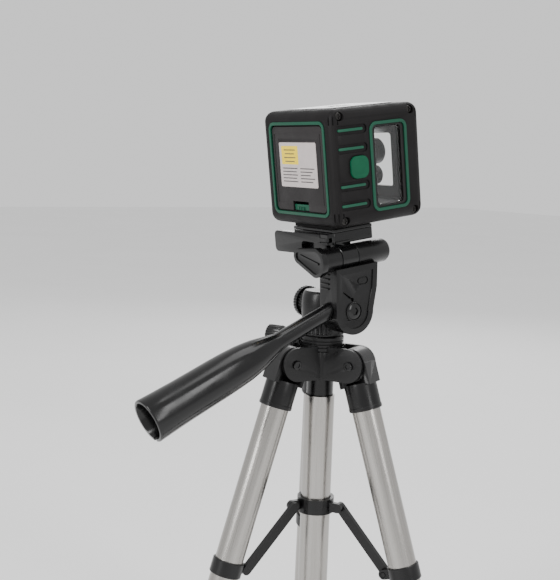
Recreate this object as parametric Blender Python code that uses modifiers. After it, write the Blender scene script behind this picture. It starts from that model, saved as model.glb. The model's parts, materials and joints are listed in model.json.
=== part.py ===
"""Laser level on a light tripod with a pan and tilt head, as separate solids at real size.

Metres, +Z up. The laser's label side faces -Y and its side window faces +X. The origin is on
the ground, at the middle of the object's footprint. Each moving piece hangs from an empty that
sits on its joint's axis.
"""

import math

import bmesh
import bpy
from mathutils import Matrix, Vector

MM = 0.001
OBJECT_NAME = "laser_level_on_tripod"
GAP = 0.3 * MM
ROUND_STEPS = 32
TUBE_STEPS = 24

# Where the tripod's axis stands, and how high the hub's own zero is above the ground.
AXIS_X = -3.722 * MM
AXIS_Y = 33.710 * MM
HUB_HEIGHT = 237.4 * MM

# Spider and legs.
LEG_SPREAD = math.radians(17.3)
LEG_AZIMUTHS = (-4.35, 115.65, 235.65)
HINGE_RADIUS = 22.9 * MM
HINGE_HEIGHT = 3.0 * MM
HINGE_PIN_RADIUS = 2.0 * MM
ARM_END_RADIUS = 10.0 * MM
ARM_END_CENTRE = 21.5 * MM
ARM_WIDTH = 20.4 * MM
ARM_SLOT_WIDTH = 15.0 * MM
HUB_RADIUS = 12.3 * MM
HUB_TOP = 9.5 * MM
HUB_BOTTOM = -7.0 * MM
HUB_BORE = 7.35 * MM
SPIGOT_RADIUS = 8.0 * MM
SPIGOT_BOTTOM = -30.0 * MM
GUIDE_RADIUS = 9.0 * MM
GUIDE_BORE = 8.2 * MM
GUIDE_TOP = -18.0 * MM
GUIDE_BOTTOM = -142.0 * MM

CASTING_RADIUS = 9.9 * MM
CASTING_START = 10.5 * MM
CASTING_END = 27.3 * MM
CASTING_TONGUE = 14.4 * MM
SOCKET_START = 13.5 * MM
LEG_WALL = 0.8 * MM
UPPER_RADIUS = 8.4 * MM
MIDDLE_RADIUS = 7.0 * MM
LOWER_RADIUS = 5.6 * MM
UPPER_SPAN = (14.0 * MM, 212.0 * MM)
MIDDLE_SPAN = (22.0 * MM, 226.0 * MM)
LOWER_SPAN = (28.0 * MM, 243.0 * MM)
UPPER_NUT_SPAN = (202.0 * MM, 220.0 * MM)
LOWER_NUT_SPAN = (221.0 * MM, 236.0 * MM)
NUT_WALL = 2.4 * MM
FOOT_START = 237.0 * MM
FOOT_RADIUS = 9.0 * MM

BRACE_PLACE = 125.0 * MM
BRACE_LUG_OFFSET = 12.6 * MM
BRACE_LUG_RADIUS = 2.9 * MM
BRACE_RIVET_RADIUS = 1.4 * MM
BRACE_EAR = 2.8 * MM
BRACE_RING_RADIUS = 11.3 * MM
BRACE_RING_BORE = 9.3 * MM
BRACE_RING_HEIGHT = 9.0 * MM
BRACE_RING_EAR = 16.0 * MM
BRACE_RING_LEVEL = -86.0 * MM
STRUT_HALF_WIDTH = 2.8 * MM

# Column and pan base.
COLUMN_RADIUS = 7.0 * MM
COLUMN_WALL = 0.9 * MM
COLUMN_SPAN = (-138.0 * MM, 29.7 * MM)
COLLAR_RADIUS = 13.2 * MM
COLLAR_SPAN = (9.8 * MM, 18.7 * MM)
PAN_POST_RADIUS = 13.0 * MM
PAN_POST_FLAT_X = 12.2 * MM
PAN_BOTTOM = 19.1 * MM
PAN_POST_TOP = 45.0 * MM
PAN_SOCKET_RADIUS = 7.3 * MM
PAN_SOCKET_TOP = 30.0 * MM
LOCK_KNOB_AZIMUTH = -64.35
LOCK_KNOB_HEIGHT = 14.3 * MM
LOCK_KNOB_RADIUS = 6.4 * MM
LOCK_KNOB_SPAN = (27.0 * MM, 36.0 * MM)
PAN_KNOB_AZIMUTH = 180.0
PAN_KNOB_HEIGHT = 24.0 * MM
PAN_KNOB_RADIUS = 4.6 * MM
PAN_KNOB_SPAN = (14.5 * MM, 25.0 * MM)
KNOB_STUD_RADIUS = 2.0 * MM

# Tilting part. Its own frame is on the tilt axis and leans back with the head.
TILT_Y = 1.5 * MM
TILT_Z = 36.0 * MM
REST_LEAN = math.radians(7.8)
TILT_PIN_RADIUS = 2.5 * MM
ARM_INNER_X = 12.6 * MM
ARM_OUTER_X = 28.5 * MM
ARM_ROUND = 13.6 * MM
ARM_TOP = 26.0 * MM
ARM_TOP_REAR = -11.2 * MM
ARM_TOP_FRONT = 19.0 * MM
ARM_EDGE = 3.0 * MM
KNOB_RADIUS = 9.6 * MM
KNOB_DRUM_RADIUS = 8.0 * MM
KNOB_SPAN = (-19.5 * MM, -12.4 * MM)
KNOB_RIM = 3.0 * MM

# Portrait hinge on top of the arm.
FLIP_X = 20.5 * MM
FLIP_Z = 31.0 * MM
BARREL_RADIUS = 7.0 * MM
BARREL_REAR = (-16.3 * MM, -5.1 * MM)
BARREL_MIDDLE = (-4.8 * MM, 6.6 * MM)
BARREL_FRONT = (6.9 * MM, 31.0 * MM)
FLIP_PIN_RADIUS = 2.0 * MM
WING_PLACE = (-20.6 * MM, -16.8 * MM)
WING_ROOT_RADIUS = 8.6 * MM
WING_TIP_RADIUS = 4.5 * MM
WING_TIP = (-15.2 * MM, 2.4 * MM)

# Handle, along the local -Y of a frame that leans down from the arm.
HANDLE_START = -12.0 * MM
HANDLE_Z = 2.0 * MM
HANDLE_DROOP = math.radians(16.2)
HANDLE_PROFILE_MM = (
    (0.0, 4.8),
    (38.0, 5.0),
    (46.0, 7.0),
    (54.0, 9.0),
    (64.0, 10.5),
    (82.0, 11.3),
    (105.0, 11.6),
    (127.0, 12.3),
)
HANDLE_BORE_RADIUS = 10.3 * MM
HANDLE_BORE_DEPTH = 16.0 * MM
STUD_RADIUS = 2.5 * MM
STUD_REACH = 9.0 * MM
STUD_LENGTH = 46.0 * MM

# Platform, plate and lever, in the tilting frame.
PLATFORM_HALF_X = 19.45 * MM
PLATFORM_Y = (-5.4 * MM, 24.4 * MM)
PLATFORM_Z = (38.8 * MM, 45.3 * MM)
PLATE_DROP = 2.2 * MM
PAD_TOP = 49.3 * MM
PAD_THICKNESS = 2.0 * MM
LEVER_Y = (-9.2 * MM, -5.8 * MM)
LEVER_X = (-34.2 * MM, 12.0 * MM)
LEVER_Z = (31.4 * MM, 44.8 * MM)
LEVER_STEP_X = -6.5 * MM
LEVER_STEP_Z = 39.9 * MM
SKIRT_X = (-16.0 * MM, 12.4 * MM)
SKIRT_Y = (-4.7 * MM, -0.7 * MM)
SKIRT_BOTTOM = 31.8 * MM
LEVER_PIN_X = 16.2 * MM
SCREW_PLACE_Y = 9.5 * MM

# Laser, in a frame at the middle of its casing.
LASER_Y = 20.2 * MM
LASER_Z = 82.6 * MM
CASING_X = 69.5 * MM
CASING_Y = 64.5 * MM
CASING_Z = 66.0 * MM
CASING_ROUND = 6.0 * MM
CASING_WALL = 3.2 * MM
CABIN_Y = (-3.5 * MM, 29.2 * MM)
CABIN_Z = (-24.0 * MM, 24.0 * MM)
WINDOW_Y = (-3.0 * MM, 16.2 * MM)
WINDOW_Z = (-23.0 * MM, 21.2 * MM)
FRONT_WINDOW_X = 10.5 * MM
FRONT_WINDOW_Z = (-17.0 * MM, 15.0 * MM)
TRIM_WIDTH = 2.3 * MM
TRIM_DEPTH = 1.2 * MM
TRIM_PROUD = 0.4 * MM
SIDE_TRIM_Y = (-6.7 * MM, 20.6 * MM)
SIDE_TRIM_Z = (-26.3 * MM, 24.2 * MM)
REAR_TRIM_HALF = 26.9 * MM
DOOR_HALF = 24.2 * MM
DOOR_THICKNESS = 2.2 * MM
DOOR_FACE = -32.0 * MM
LATCH_X = (-8.0 * MM, 7.2 * MM)
LATCH_TOP = -18.8 * MM
BATTERY_HALF = 21.5 * MM
BATTERY_DEPTH = -7.0 * MM
LABEL_HALF_X = 17.9 * MM
LABEL_Z = (-10.5 * MM, 15.2 * MM)
BUTTON_Y = -15.5 * MM
BUTTON_Z = 0.2 * MM
BUTTON_HALF = 6.6 * MM
BUTTON_INNER_X = 31.6 * MM
BUTTON_PROUD = 1.0 * MM
SCREW_HOLES = ((-26.6 * MM, 29.0 * MM), (24.6 * MM, 29.0 * MM))
SCREW_HOLE_RADIUS = 2.6 * MM
SCREW_HOLE_FLOOR = 31.6 * MM
PANEL_X = 22.0 * MM
PANEL_Y = (-22.0 * MM, 24.0 * MM)
PANEL_PROUD = 0.5 * MM
PANEL_DEPTH = 0.9 * MM
VIAL_RADIUS = 6.0 * MM
GIMBAL_Y = 12.0 * MM
GIMBAL_Z = 19.5 * MM
GIMBAL_RADIUS = 7.5 * MM
GIMBAL_BORE = 5.0 * MM
GIMBAL_PIN = 1.0 * MM
GIMBAL_LUG_X = (9.6 * MM, 12.8 * MM)
UPPER_MODULE_Z = 4.5 * MM
UPPER_MODULE_RADIUS = 7.7 * MM
UPPER_MODULE_FRONT = 27.5 * MM
LOWER_MODULE_Z = -9.7 * MM
LOWER_MODULE_RADIUS = 5.7 * MM
LOWER_MODULE_FRONT = 26.3 * MM
PENDULUM_Y = (1.0 * MM, 19.0 * MM)
PENDULUM_Z = (-21.0 * MM, 13.2 * MM)
PENDULUM_HALF_X = 8.6 * MM

COLOURS = {
    "rubber": ((0.018, 0.016, 0.017), 0.62, 0.0),
    "plastic": ((0.012, 0.012, 0.013), 0.32, 0.0),
    "door": ((0.035, 0.032, 0.033), 0.55, 0.0),
    "green": ((0.006, 0.10, 0.05), 0.45, 0.0),
    "aluminium": ((0.80, 0.79, 0.77), 0.33, 1.0),
    "steel": ((0.55, 0.55, 0.56), 0.35, 1.0),
    "brass": ((0.60, 0.42, 0.16), 0.35, 1.0),
    "label": ((0.62, 0.59, 0.57), 0.5, 0.0),
    "panel": ((0.30, 0.30, 0.31), 0.2, 0.0),
    "vial": ((0.45, 0.75, 0.12), 0.1, 0.0),
    "glass": ((0.85, 0.88, 0.88), 0.05, 0.0),
}


def clear_scene():
    for obj in list(bpy.data.objects):
        bpy.data.objects.remove(obj, do_unlink=True)


def new_collection(name):
    collection = bpy.data.collections.new(name)
    bpy.context.scene.collection.children.link(collection)
    return collection


clear_scene()
PARTS = new_collection(OBJECT_NAME)
CUTTERS = new_collection("cutters")


def material(key):
    found = bpy.data.materials.get(key)
    if found:
        return found
    colour, roughness, metallic = COLOURS[key]
    made = bpy.data.materials.new(key)
    made.use_nodes = True
    shader = made.node_tree.nodes["Principled BSDF"]
    shader.inputs["Base Color"].default_value = (*colour, 1.0)
    shader.inputs["Roughness"].default_value = roughness
    shader.inputs["Metallic"].default_value = metallic
    return made


def empty(name, parent, location=(0, 0, 0), rotation=(0, 0, 0)):
    made = bpy.data.objects.new(name, None)
    PARTS.objects.link(made)
    made.parent = parent
    made.location = location
    made.rotation_euler = rotation
    return made


def place(obj, parent):
    """Hangs a shape from an empty, keeping the place it was made in as its place there."""
    obj.parent = parent
    for owner in list(obj.users_collection):
        owner.objects.unlink(obj)
    CUTTERS.objects.link(obj)
    obj.hide_render = True
    obj.display_type = "WIRE"
    return obj


def node(obj, name, finish):
    """Turns a shape into a named part."""
    obj.name = name
    obj.data.materials.clear()
    obj.data.materials.append(material(finish))
    CUTTERS.objects.unlink(obj)
    PARTS.objects.link(obj)
    obj.hide_render = False
    obj.display_type = "TEXTURED"
    obj.data.shade_smooth()
    obj.data.set_sharp_from_angle(angle=math.radians(35))
    return obj


def combine(obj, other, operation):
    modifier = obj.modifiers.new(operation.lower(), "BOOLEAN")
    modifier.operation = operation
    modifier.solver = "EXACT"
    modifier.object = other
    return obj


def cut(obj, *others):
    for other in others:
        combine(obj, other, "DIFFERENCE")
    return obj


def join(obj, *others):
    for other in others:
        combine(obj, other, "UNION")
    return obj


def soften(obj, width, segments=2):
    modifier = obj.modifiers.new("edges", "BEVEL")
    modifier.width = width
    modifier.segments = segments
    modifier.limit_method = "ANGLE"
    modifier.angle_limit = math.radians(40)
    return obj


def box(parent, x, y, z, edge=0.0, segments=2):
    """A box between the pairs x, y and z of the parent's frame."""
    bpy.ops.mesh.primitive_cube_add(size=1.0)
    obj = bpy.context.active_object
    size = Vector((x[1] - x[0], y[1] - y[0], z[1] - z[0]))
    middle = Vector((x[0] + x[1], y[0] + y[1], z[0] + z[1])) / 2
    obj.data.transform(Matrix.Translation(middle) @ Matrix.Diagonal((*size, 1.0)))
    place(obj, parent)
    if edge:
        soften(obj, edge, segments)
    return obj


AXIS_TURNS = {
    "X": Matrix.Rotation(math.radians(90), 4, "Y"),
    "Y": Matrix.Rotation(math.radians(-90), 4, "X"),
    "Z": Matrix.Identity(4),
}


def rod(parent, axis, radius, span, centre=(0.0, 0.0), steps=TUBE_STEPS):
    """A cylinder along axis between the two ends of span, about the other two coordinates."""
    bpy.ops.mesh.primitive_cylinder_add(vertices=steps, radius=radius, depth=span[1] - span[0])
    obj = bpy.context.active_object
    middle = (span[0] + span[1]) / 2
    places = {
        "X": (middle, centre[0], centre[1]),
        "Y": (centre[0], middle, centre[1]),
        "Z": (centre[0], centre[1], middle),
    }
    obj.data.transform(Matrix.Translation(places[axis]) @ AXIS_TURNS[axis])
    return place(obj, parent)


def turned(parent, profile, closed=False, steps=ROUND_STEPS, turn=None):
    """A profile of (radius, height) points, running down its outer side, turned about Z."""
    mesh = bpy.data.meshes.new("profile")
    points = [(radius, 0.0, height) for radius, height in profile]
    edges = [(i, i + 1) for i in range(len(points) - 1)]
    if closed:
        edges.append((len(points) - 1, 0))
    mesh.from_pydata(points, edges, [])
    obj = bpy.data.objects.new("profile", mesh)
    bpy.context.scene.collection.objects.link(obj)
    screw = obj.modifiers.new("turn", "SCREW")
    screw.axis = "Z"
    screw.steps = steps
    screw.render_steps = steps
    screw.use_merge_vertices = True
    screw.merge_threshold = 0.00001
    screw.use_normal_calculate = False
    obj = baked(obj)
    if turn is not None:
        obj.data.transform(turn)
    return place(obj, parent)


def baked(obj):
    """The evaluated shape as a plain mesh object, with its loose caps welded."""
    graph = bpy.context.evaluated_depsgraph_get()
    mesh = bpy.data.meshes.new_from_object(obj.evaluated_get(graph))
    made = bpy.data.objects.new("shape", mesh)
    made.matrix_world = obj.matrix_world
    bpy.context.scene.collection.objects.link(made)
    bpy.data.objects.remove(obj, do_unlink=True)
    weld(mesh)
    return made


def weld(mesh):
    shape = bmesh.new()
    shape.from_mesh(mesh)
    bmesh.ops.remove_doubles(shape, verts=shape.verts, dist=0.000005)
    bmesh.ops.recalc_face_normals(shape, faces=shape.faces)
    shape.to_mesh(mesh)
    shape.free()


def tube(parent, radius, bore, span, steps=TUBE_STEPS):
    """An open tube along Z."""
    top = max(span)
    bottom = min(span)
    return turned(parent, [(bore, top), (radius, top), (radius, bottom), (bore, bottom)], True, steps)


def arc(centre, radius, start, end, steps):
    """Points round part of a circle, from the start angle to the end angle in degrees."""
    angles = [math.radians(start + (end - start) * i / steps) for i in range(steps + 1)]
    return [(centre[0] + radius * math.cos(a), centre[1] + radius * math.sin(a)) for a in angles]


OUTLINE_PLANES = {
    # The outline's own x and y become these axes, and its thickness runs along the third.
    "XZ": Matrix(((1, 0, 0, 0), (0, 0, -1, 0), (0, 1, 0, 0), (0, 0, 0, 1))),
    "YZ": Matrix(((0, 0, 1, 0), (1, 0, 0, 0), (0, 1, 0, 0), (0, 0, 0, 1))),
    "XY": Matrix.Identity(4),
}
OUTLINE_NORMALS = {"XZ": (0, -1, 0), "YZ": (1, 0, 0), "XY": (0, 0, 1)}


def outline(parent, plane, points, span, holes=()):
    """A flat outline in a plane of the parent's frame, thick from span[0] to span[1]."""
    curve = bpy.data.curves.new("outline", "CURVE")
    curve.dimensions = "2D"
    curve.fill_mode = "BOTH"
    curve.extrude = abs(span[1] - span[0]) / 2
    for loop in (points, *holes):
        spline = curve.splines.new("POLY")
        spline.points.add(len(loop) - 1)
        for point, (x, y) in zip(spline.points, loop):
            point.co = (x, y, 0, 1)
        spline.use_cyclic_u = True
    obj = bpy.data.objects.new("outline", curve)
    bpy.context.scene.collection.objects.link(obj)
    obj = baked(obj)
    normal = Vector(OUTLINE_NORMALS[plane])
    middle = normal * (abs(sum(normal)) / sum(normal)) * (span[0] + span[1]) / 2
    obj.data.transform(Matrix.Translation(middle) @ OUTLINE_PLANES[plane])
    return place(obj, parent)


def rounded(x, y, radius, steps=5):
    """The outline of a rectangle with round corners."""
    corners = ((x[1], y[1], 0), (x[0], y[1], 90), (x[0], y[0], 180), (x[1], y[0], 270))
    points = []
    for cx, cy, start in corners:
        centre = (cx - math.copysign(radius, cx - sum(x) / 2), cy - math.copysign(radius, cy - sum(y) / 2))
        points += arc(centre, radius, start, start + 90, steps)
    return points


def grown(pair, amount):
    return (min(pair) - amount, max(pair) + amount)


def frame_ring(parent, plane, x, y, radius, width, span):
    """A flat frame with round corners."""
    outer = rounded(x, y, radius)
    inner = rounded(grown(x, -width), grown(y, -width), radius - width)
    return outline(parent, plane, outer, span, [inner])


# ---------------------------------------------------------------- frames

ROOT = empty("tripod_axis", None, (AXIS_X, AXIS_Y, HUB_HEIGHT))
COLUMN_FRAME = empty("column_frame", ROOT)
PAN_FRAME = empty("pan_frame", COLUMN_FRAME)
TILT_FRAME = empty("tilt_frame", PAN_FRAME, (0, TILT_Y, TILT_Z), (REST_LEAN, 0, 0))
FLIP_FRAME = empty("flip_frame", TILT_FRAME, (FLIP_X, 0, FLIP_Z))
LASER_FRAME = empty("laser_frame", TILT_FRAME, (0, LASER_Y, LASER_Z))


def leg_frame(number):
    """Local -Z runs down the leg, local Y is the hinge pin and local +X faces outwards."""
    heading = math.radians(LEG_AZIMUTHS[number] - 90)
    place_on_spider = (
        HINGE_RADIUS * math.cos(heading),
        HINGE_RADIUS * math.sin(heading),
        HINGE_HEIGHT,
    )
    return empty(f"leg_{number + 1}_frame", ROOT, place_on_spider, (0, -LEG_SPREAD, heading))


# ---------------------------------------------------------------- tripod


def make_spider():
    hub = turned(
        ROOT,
        [
            (0, HUB_TOP),
            (HUB_RADIUS, HUB_TOP),
            (HUB_RADIUS, HUB_BOTTOM),
            (SPIGOT_RADIUS, HUB_BOTTOM),
            (SPIGOT_RADIUS, SPIGOT_BOTTOM),
            (0, SPIGOT_BOTTOM),
        ],
    )
    low = HINGE_HEIGHT - ARM_END_RADIUS
    high = HINGE_HEIGHT + ARM_END_RADIUS
    for azimuth in LEG_AZIMUTHS:
        heading = math.radians(azimuth - 90)
        arm_frame = empty(f"arm_frame_{azimuth:.0f}", ROOT, (0, 0, 0), (0, 0, heading))
        end = arc((ARM_END_CENTRE, HINGE_HEIGHT), ARM_END_RADIUS, -90, 90, 12)
        shape = outline(
            arm_frame, "XZ", [(0, low), *end, (0, high)], (-ARM_WIDTH / 2, ARM_WIDTH / 2)
        )
        join(hub, shape)
    for azimuth in LEG_AZIMUTHS:
        arm_frame = bpy.data.objects[f"arm_frame_{azimuth:.0f}"]
        half = ARM_SLOT_WIDTH / 2
        slot = box(
            arm_frame, (HUB_RADIUS + 0.3 * MM, 40 * MM), (-half, half), grown((low, high), 2 * MM)
        )
        pin_hole = rod(
            arm_frame,
            "Y",
            HINGE_PIN_RADIUS + GAP,
            (-ARM_WIDTH, ARM_WIDTH),
            (HINGE_RADIUS, HINGE_HEIGHT),
            16,
        )
        cut(hub, slot, pin_hole)
    collar_room = rod(ROOT, "Z", COLLAR_RADIUS + 0.4 * MM, (HUB_TOP, high + 5 * MM))
    bore = rod(ROOT, "Z", HUB_BORE, (SPIGOT_BOTTOM - MM, high + MM))
    cut(hub, collar_room, bore)
    node(hub, "spider", "plastic")
    node(tube(ROOT, GUIDE_RADIUS, GUIDE_BORE, (GUIDE_TOP, GUIDE_BOTTOM)), "guide_tube", "aluminium")


def brace_geometry():
    """Where the brace lug is on a leg, the strut's length and its slope, with the legs spread."""
    lug_x = (
        HINGE_RADIUS
        + BRACE_PLACE * math.sin(LEG_SPREAD)
        - BRACE_LUG_OFFSET * math.cos(LEG_SPREAD)
    )
    lug_z = (
        HINGE_HEIGHT
        - BRACE_PLACE * math.cos(LEG_SPREAD)
        - BRACE_LUG_OFFSET * math.sin(LEG_SPREAD)
    )
    reach = lug_x - BRACE_RING_EAR
    drop = BRACE_RING_LEVEL - lug_z
    return lug_x, lug_z, math.hypot(reach, drop), math.atan2(drop, reach)


def make_leg(number):
    frame = leg_frame(number)
    label = f"leg_{number + 1}"
    eye = rod(frame, "Y", CASTING_RADIUS, (-CASTING_TONGUE / 2, CASTING_TONGUE / 2))
    half = CASTING_TONGUE / 2
    neck = box(frame, (-CASTING_RADIUS, CASTING_RADIUS), (-half, half), (-CASTING_START - 2 * MM, 0))
    barrel = turned(
        frame,
        [
            (0, -CASTING_START),
            (CASTING_RADIUS - 1.5 * MM, -CASTING_START),
            (CASTING_RADIUS, -CASTING_START - 2 * MM),
            (CASTING_RADIUS, -CASTING_END),
            (0, -CASTING_END),
        ],
        steps=TUBE_STEPS,
    )
    pin = rod(frame, "Y", HINGE_PIN_RADIUS, (-ARM_WIDTH / 2, ARM_WIDTH / 2), steps=16)
    socket = rod(frame, "Z", UPPER_RADIUS + GAP, (-CASTING_END - MM, -SOCKET_START))
    join(eye, neck, barrel, pin)
    cut(eye, socket)
    node(eye, f"{label}_casting", "plastic")

    upper = tube(frame, UPPER_RADIUS, UPPER_RADIUS - LEG_WALL, [-s for s in UPPER_SPAN])
    lug_place = (-BRACE_LUG_OFFSET, -BRACE_PLACE)
    lug = rod(frame, "Y", BRACE_LUG_RADIUS, (-BRACE_EAR - GAP / 2, -GAP / 2), lug_place, 16)
    lug_root = box(
        frame,
        (-BRACE_LUG_OFFSET, -UPPER_RADIUS + 0.5 * MM),
        (-BRACE_EAR - GAP / 2, -GAP / 2),
        grown((-BRACE_PLACE, -BRACE_PLACE), BRACE_LUG_RADIUS),
    )
    rivet_hole = rod(frame, "Y", BRACE_RIVET_RADIUS + GAP, (-5 * MM, MM), lug_place, 12)
    join(upper, lug_root, lug)
    cut(upper, rivet_hole)
    node(upper, f"{label}_upper_tube", "aluminium")

    node(
        tube(frame, MIDDLE_RADIUS, MIDDLE_RADIUS - LEG_WALL, [-s for s in MIDDLE_SPAN]),
        f"{label}_middle_tube",
        "aluminium",
    )
    node(
        tube(frame, LOWER_RADIUS, LOWER_RADIUS - LEG_WALL, [-s for s in LOWER_SPAN]),
        f"{label}_lower_tube",
        "aluminium",
    )
    upper_nut = nut(frame, UPPER_NUT_SPAN, UPPER_RADIUS, MIDDLE_RADIUS, UPPER_SPAN[1])
    node(upper_nut, f"{label}_upper_nut", "plastic")
    lower_nut = nut(frame, LOWER_NUT_SPAN, MIDDLE_RADIUS, LOWER_RADIUS, MIDDLE_SPAN[1])
    node(lower_nut, f"{label}_lower_nut", "plastic")
    make_foot(frame, label)
    make_strut(frame, label)


def nut(frame, span, big, small, step):
    """A twist lock: it goes round the end of one tube and down to the next."""
    outside = big + NUT_WALL
    return turned(
        frame,
        [
            (big + GAP, -span[0]),
            (outside - MM, -span[0]),
            (outside, -span[0] - MM),
            (outside, -span[1] + 1.5 * MM),
            (outside - 1.5 * MM, -span[1]),
            (small + GAP, -span[1]),
            (small + GAP, -step - GAP),
            (big + GAP, -step - GAP),
        ],
        True,
        TUBE_STEPS,
    )


def make_foot(frame, label):
    """A rubber foot, cut level with the ground."""
    end = LOWER_SPAN[1]
    foot = turned(
        frame,
        [
            (0, -FOOT_START),
            (LOWER_RADIUS + 1.6 * MM, -FOOT_START),
            (FOOT_RADIUS, -FOOT_START - 4 * MM),
            (FOOT_RADIUS, -end - 13 * MM),
            (0, -end - 13 * MM),
        ],
        steps=TUBE_STEPS,
    )
    socket = rod(frame, "Z", LOWER_RADIUS + GAP, (-end - GAP, -FOOT_START + MM))
    wide = 200 * MM
    ground = box(None, (-wide, wide), (-wide, wide), (-wide, 0))
    cut(foot, socket, ground)
    node(foot, f"{label}_foot", "rubber")


def make_strut(frame, label):
    lug_x, lug_z, length, slope = brace_geometry()
    pivot = empty(
        f"{label}_strut_frame",
        frame,
        (-BRACE_LUG_OFFSET, 0, -BRACE_PLACE),
        (0, LEG_SPREAD + slope, 0),
    )
    near = arc((0, 0), STRUT_HALF_WIDTH, -90, 90, 8)
    far = arc((-length, 0), STRUT_HALF_WIDTH, 90, 270, 8)
    strut = outline(pivot, "XZ", [*near, *far], (-BRACE_EAR - GAP / 2, -GAP / 2))
    strut.data.transform(Matrix.Translation((0, BRACE_EAR + GAP, 0)))
    rivet = rod(pivot, "Y", BRACE_RIVET_RADIUS, (-BRACE_EAR - GAP, BRACE_EAR), steps=12)
    join(strut, rivet)
    node(strut, f"{label}_strut", "plastic")


def make_brace_ring():
    level = BRACE_RING_LEVEL
    half = BRACE_RING_HEIGHT / 2
    ring = rod(ROOT, "Z", BRACE_RING_RADIUS, (level - half, level + half))
    for azimuth in LEG_AZIMUTHS:
        arm_frame = bpy.data.objects[f"arm_frame_{azimuth:.0f}"]
        end = arc((BRACE_RING_EAR, level), BRACE_LUG_RADIUS, -90, 90, 8)
        root_x = BRACE_RING_RADIUS - 2 * MM
        ear = outline(
            arm_frame,
            "XZ",
            [(root_x, level - BRACE_LUG_RADIUS), *end, (root_x, level + BRACE_LUG_RADIUS)],
            (-BRACE_EAR - GAP / 2, -GAP / 2),
        )
        join(ring, ear)
    bore = rod(ROOT, "Z", BRACE_RING_BORE, (level - 2 * half, level + 2 * half))
    cut(ring, bore)
    node(ring, "brace_ring", "plastic")


def knob_frame(parent, name, azimuth, height):
    """A frame whose X points out of the tripod's axis, along a locking knob's stud."""
    heading = math.radians(azimuth - 90)
    return empty(name, parent, (0, 0, height), (0, 0, heading))


def stud_knob(frame, radius, span, neck_start):
    """A round knob and its stud, as one piece, along the frame's X."""
    stud_start = PAN_SOCKET_RADIUS + 0.4 * MM
    near, far = span
    neck = KNOB_STUD_RADIUS + 1.2 * MM
    return turned(
        frame,
        [
            (0, far),
            (radius - MM, far),
            (radius, far - MM),
            (radius, near + MM),
            (radius - MM, near),
            (neck, near),
            (neck, neck_start),
            (KNOB_STUD_RADIUS, neck_start),
            (KNOB_STUD_RADIUS, stud_start),
            (0, stud_start),
        ],
        steps=20,
        turn=AXIS_TURNS["X"],
    )


def stud_hole(frame):
    return rod(frame, "X", KNOB_STUD_RADIUS + GAP, (4 * MM, 20 * MM), steps=16)


def make_column():
    groove = 0.8 * MM
    low, high = COLLAR_SPAN
    profile = [(COLUMN_RADIUS + GAP, high), (COLLAR_RADIUS - groove, high), (COLLAR_RADIUS, high - groove)]
    for level in (high - 2.6 * MM, high - 6.4 * MM):
        profile += [
            (COLLAR_RADIUS, level + groove / 2),
            (COLLAR_RADIUS - groove, level),
            (COLLAR_RADIUS, level - groove / 2),
        ]
    profile += [(COLLAR_RADIUS, low), (COLUMN_RADIUS + GAP, low)]
    collar = turned(ROOT, profile, True)
    frame = knob_frame(ROOT, "lock_knob_frame", LOCK_KNOB_AZIMUTH, LOCK_KNOB_HEIGHT)
    cut(collar, stud_hole(frame))
    node(collar, "column_collar", "plastic")
    knob = stud_knob(frame, LOCK_KNOB_RADIUS, LOCK_KNOB_SPAN, COLLAR_RADIUS + MM)
    node(knob, "column_lock_knob", "plastic")
    column = tube(COLUMN_FRAME, COLUMN_RADIUS, COLUMN_RADIUS - COLUMN_WALL, COLUMN_SPAN)
    node(column, "column_tube", "aluminium")


def make_pan_base():
    rim = 1.0 * MM
    base = turned(
        PAN_FRAME,
        [
            (0, PAN_POST_TOP),
            (PAN_POST_RADIUS - rim, PAN_POST_TOP),
            (PAN_POST_RADIUS, PAN_POST_TOP - rim),
            (PAN_POST_RADIUS, PAN_BOTTOM),
            (0, PAN_BOTTOM),
        ],
    )
    socket = rod(PAN_FRAME, "Z", PAN_SOCKET_RADIUS, (PAN_BOTTOM - MM, PAN_SOCKET_TOP))
    axle_hole = rod(
        PAN_FRAME, "X", TILT_PIN_RADIUS + GAP, (-20 * MM, 20 * MM), (TILT_Y, TILT_Z), 16
    )
    frame = knob_frame(PAN_FRAME, "pan_knob_frame", PAN_KNOB_AZIMUTH, PAN_KNOB_HEIGHT)
    far = 2 * PAN_POST_RADIUS
    for side in (-1, 1):
        flat_x = sorted((side * PAN_POST_FLAT_X, side * far))
        cut(base, box(PAN_FRAME, flat_x, (-far, far), (PAN_BOTTOM - MM, PAN_POST_TOP + MM)))
    cut(base, socket, axle_hole, stud_hole(frame))
    node(base, "pan_base", "plastic")
    knob = stud_knob(frame, PAN_KNOB_RADIUS, PAN_KNOB_SPAN, PAN_POST_RADIUS + MM)
    node(knob, "pan_knob", "plastic")


# ---------------------------------------------------------------- tilting head


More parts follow.
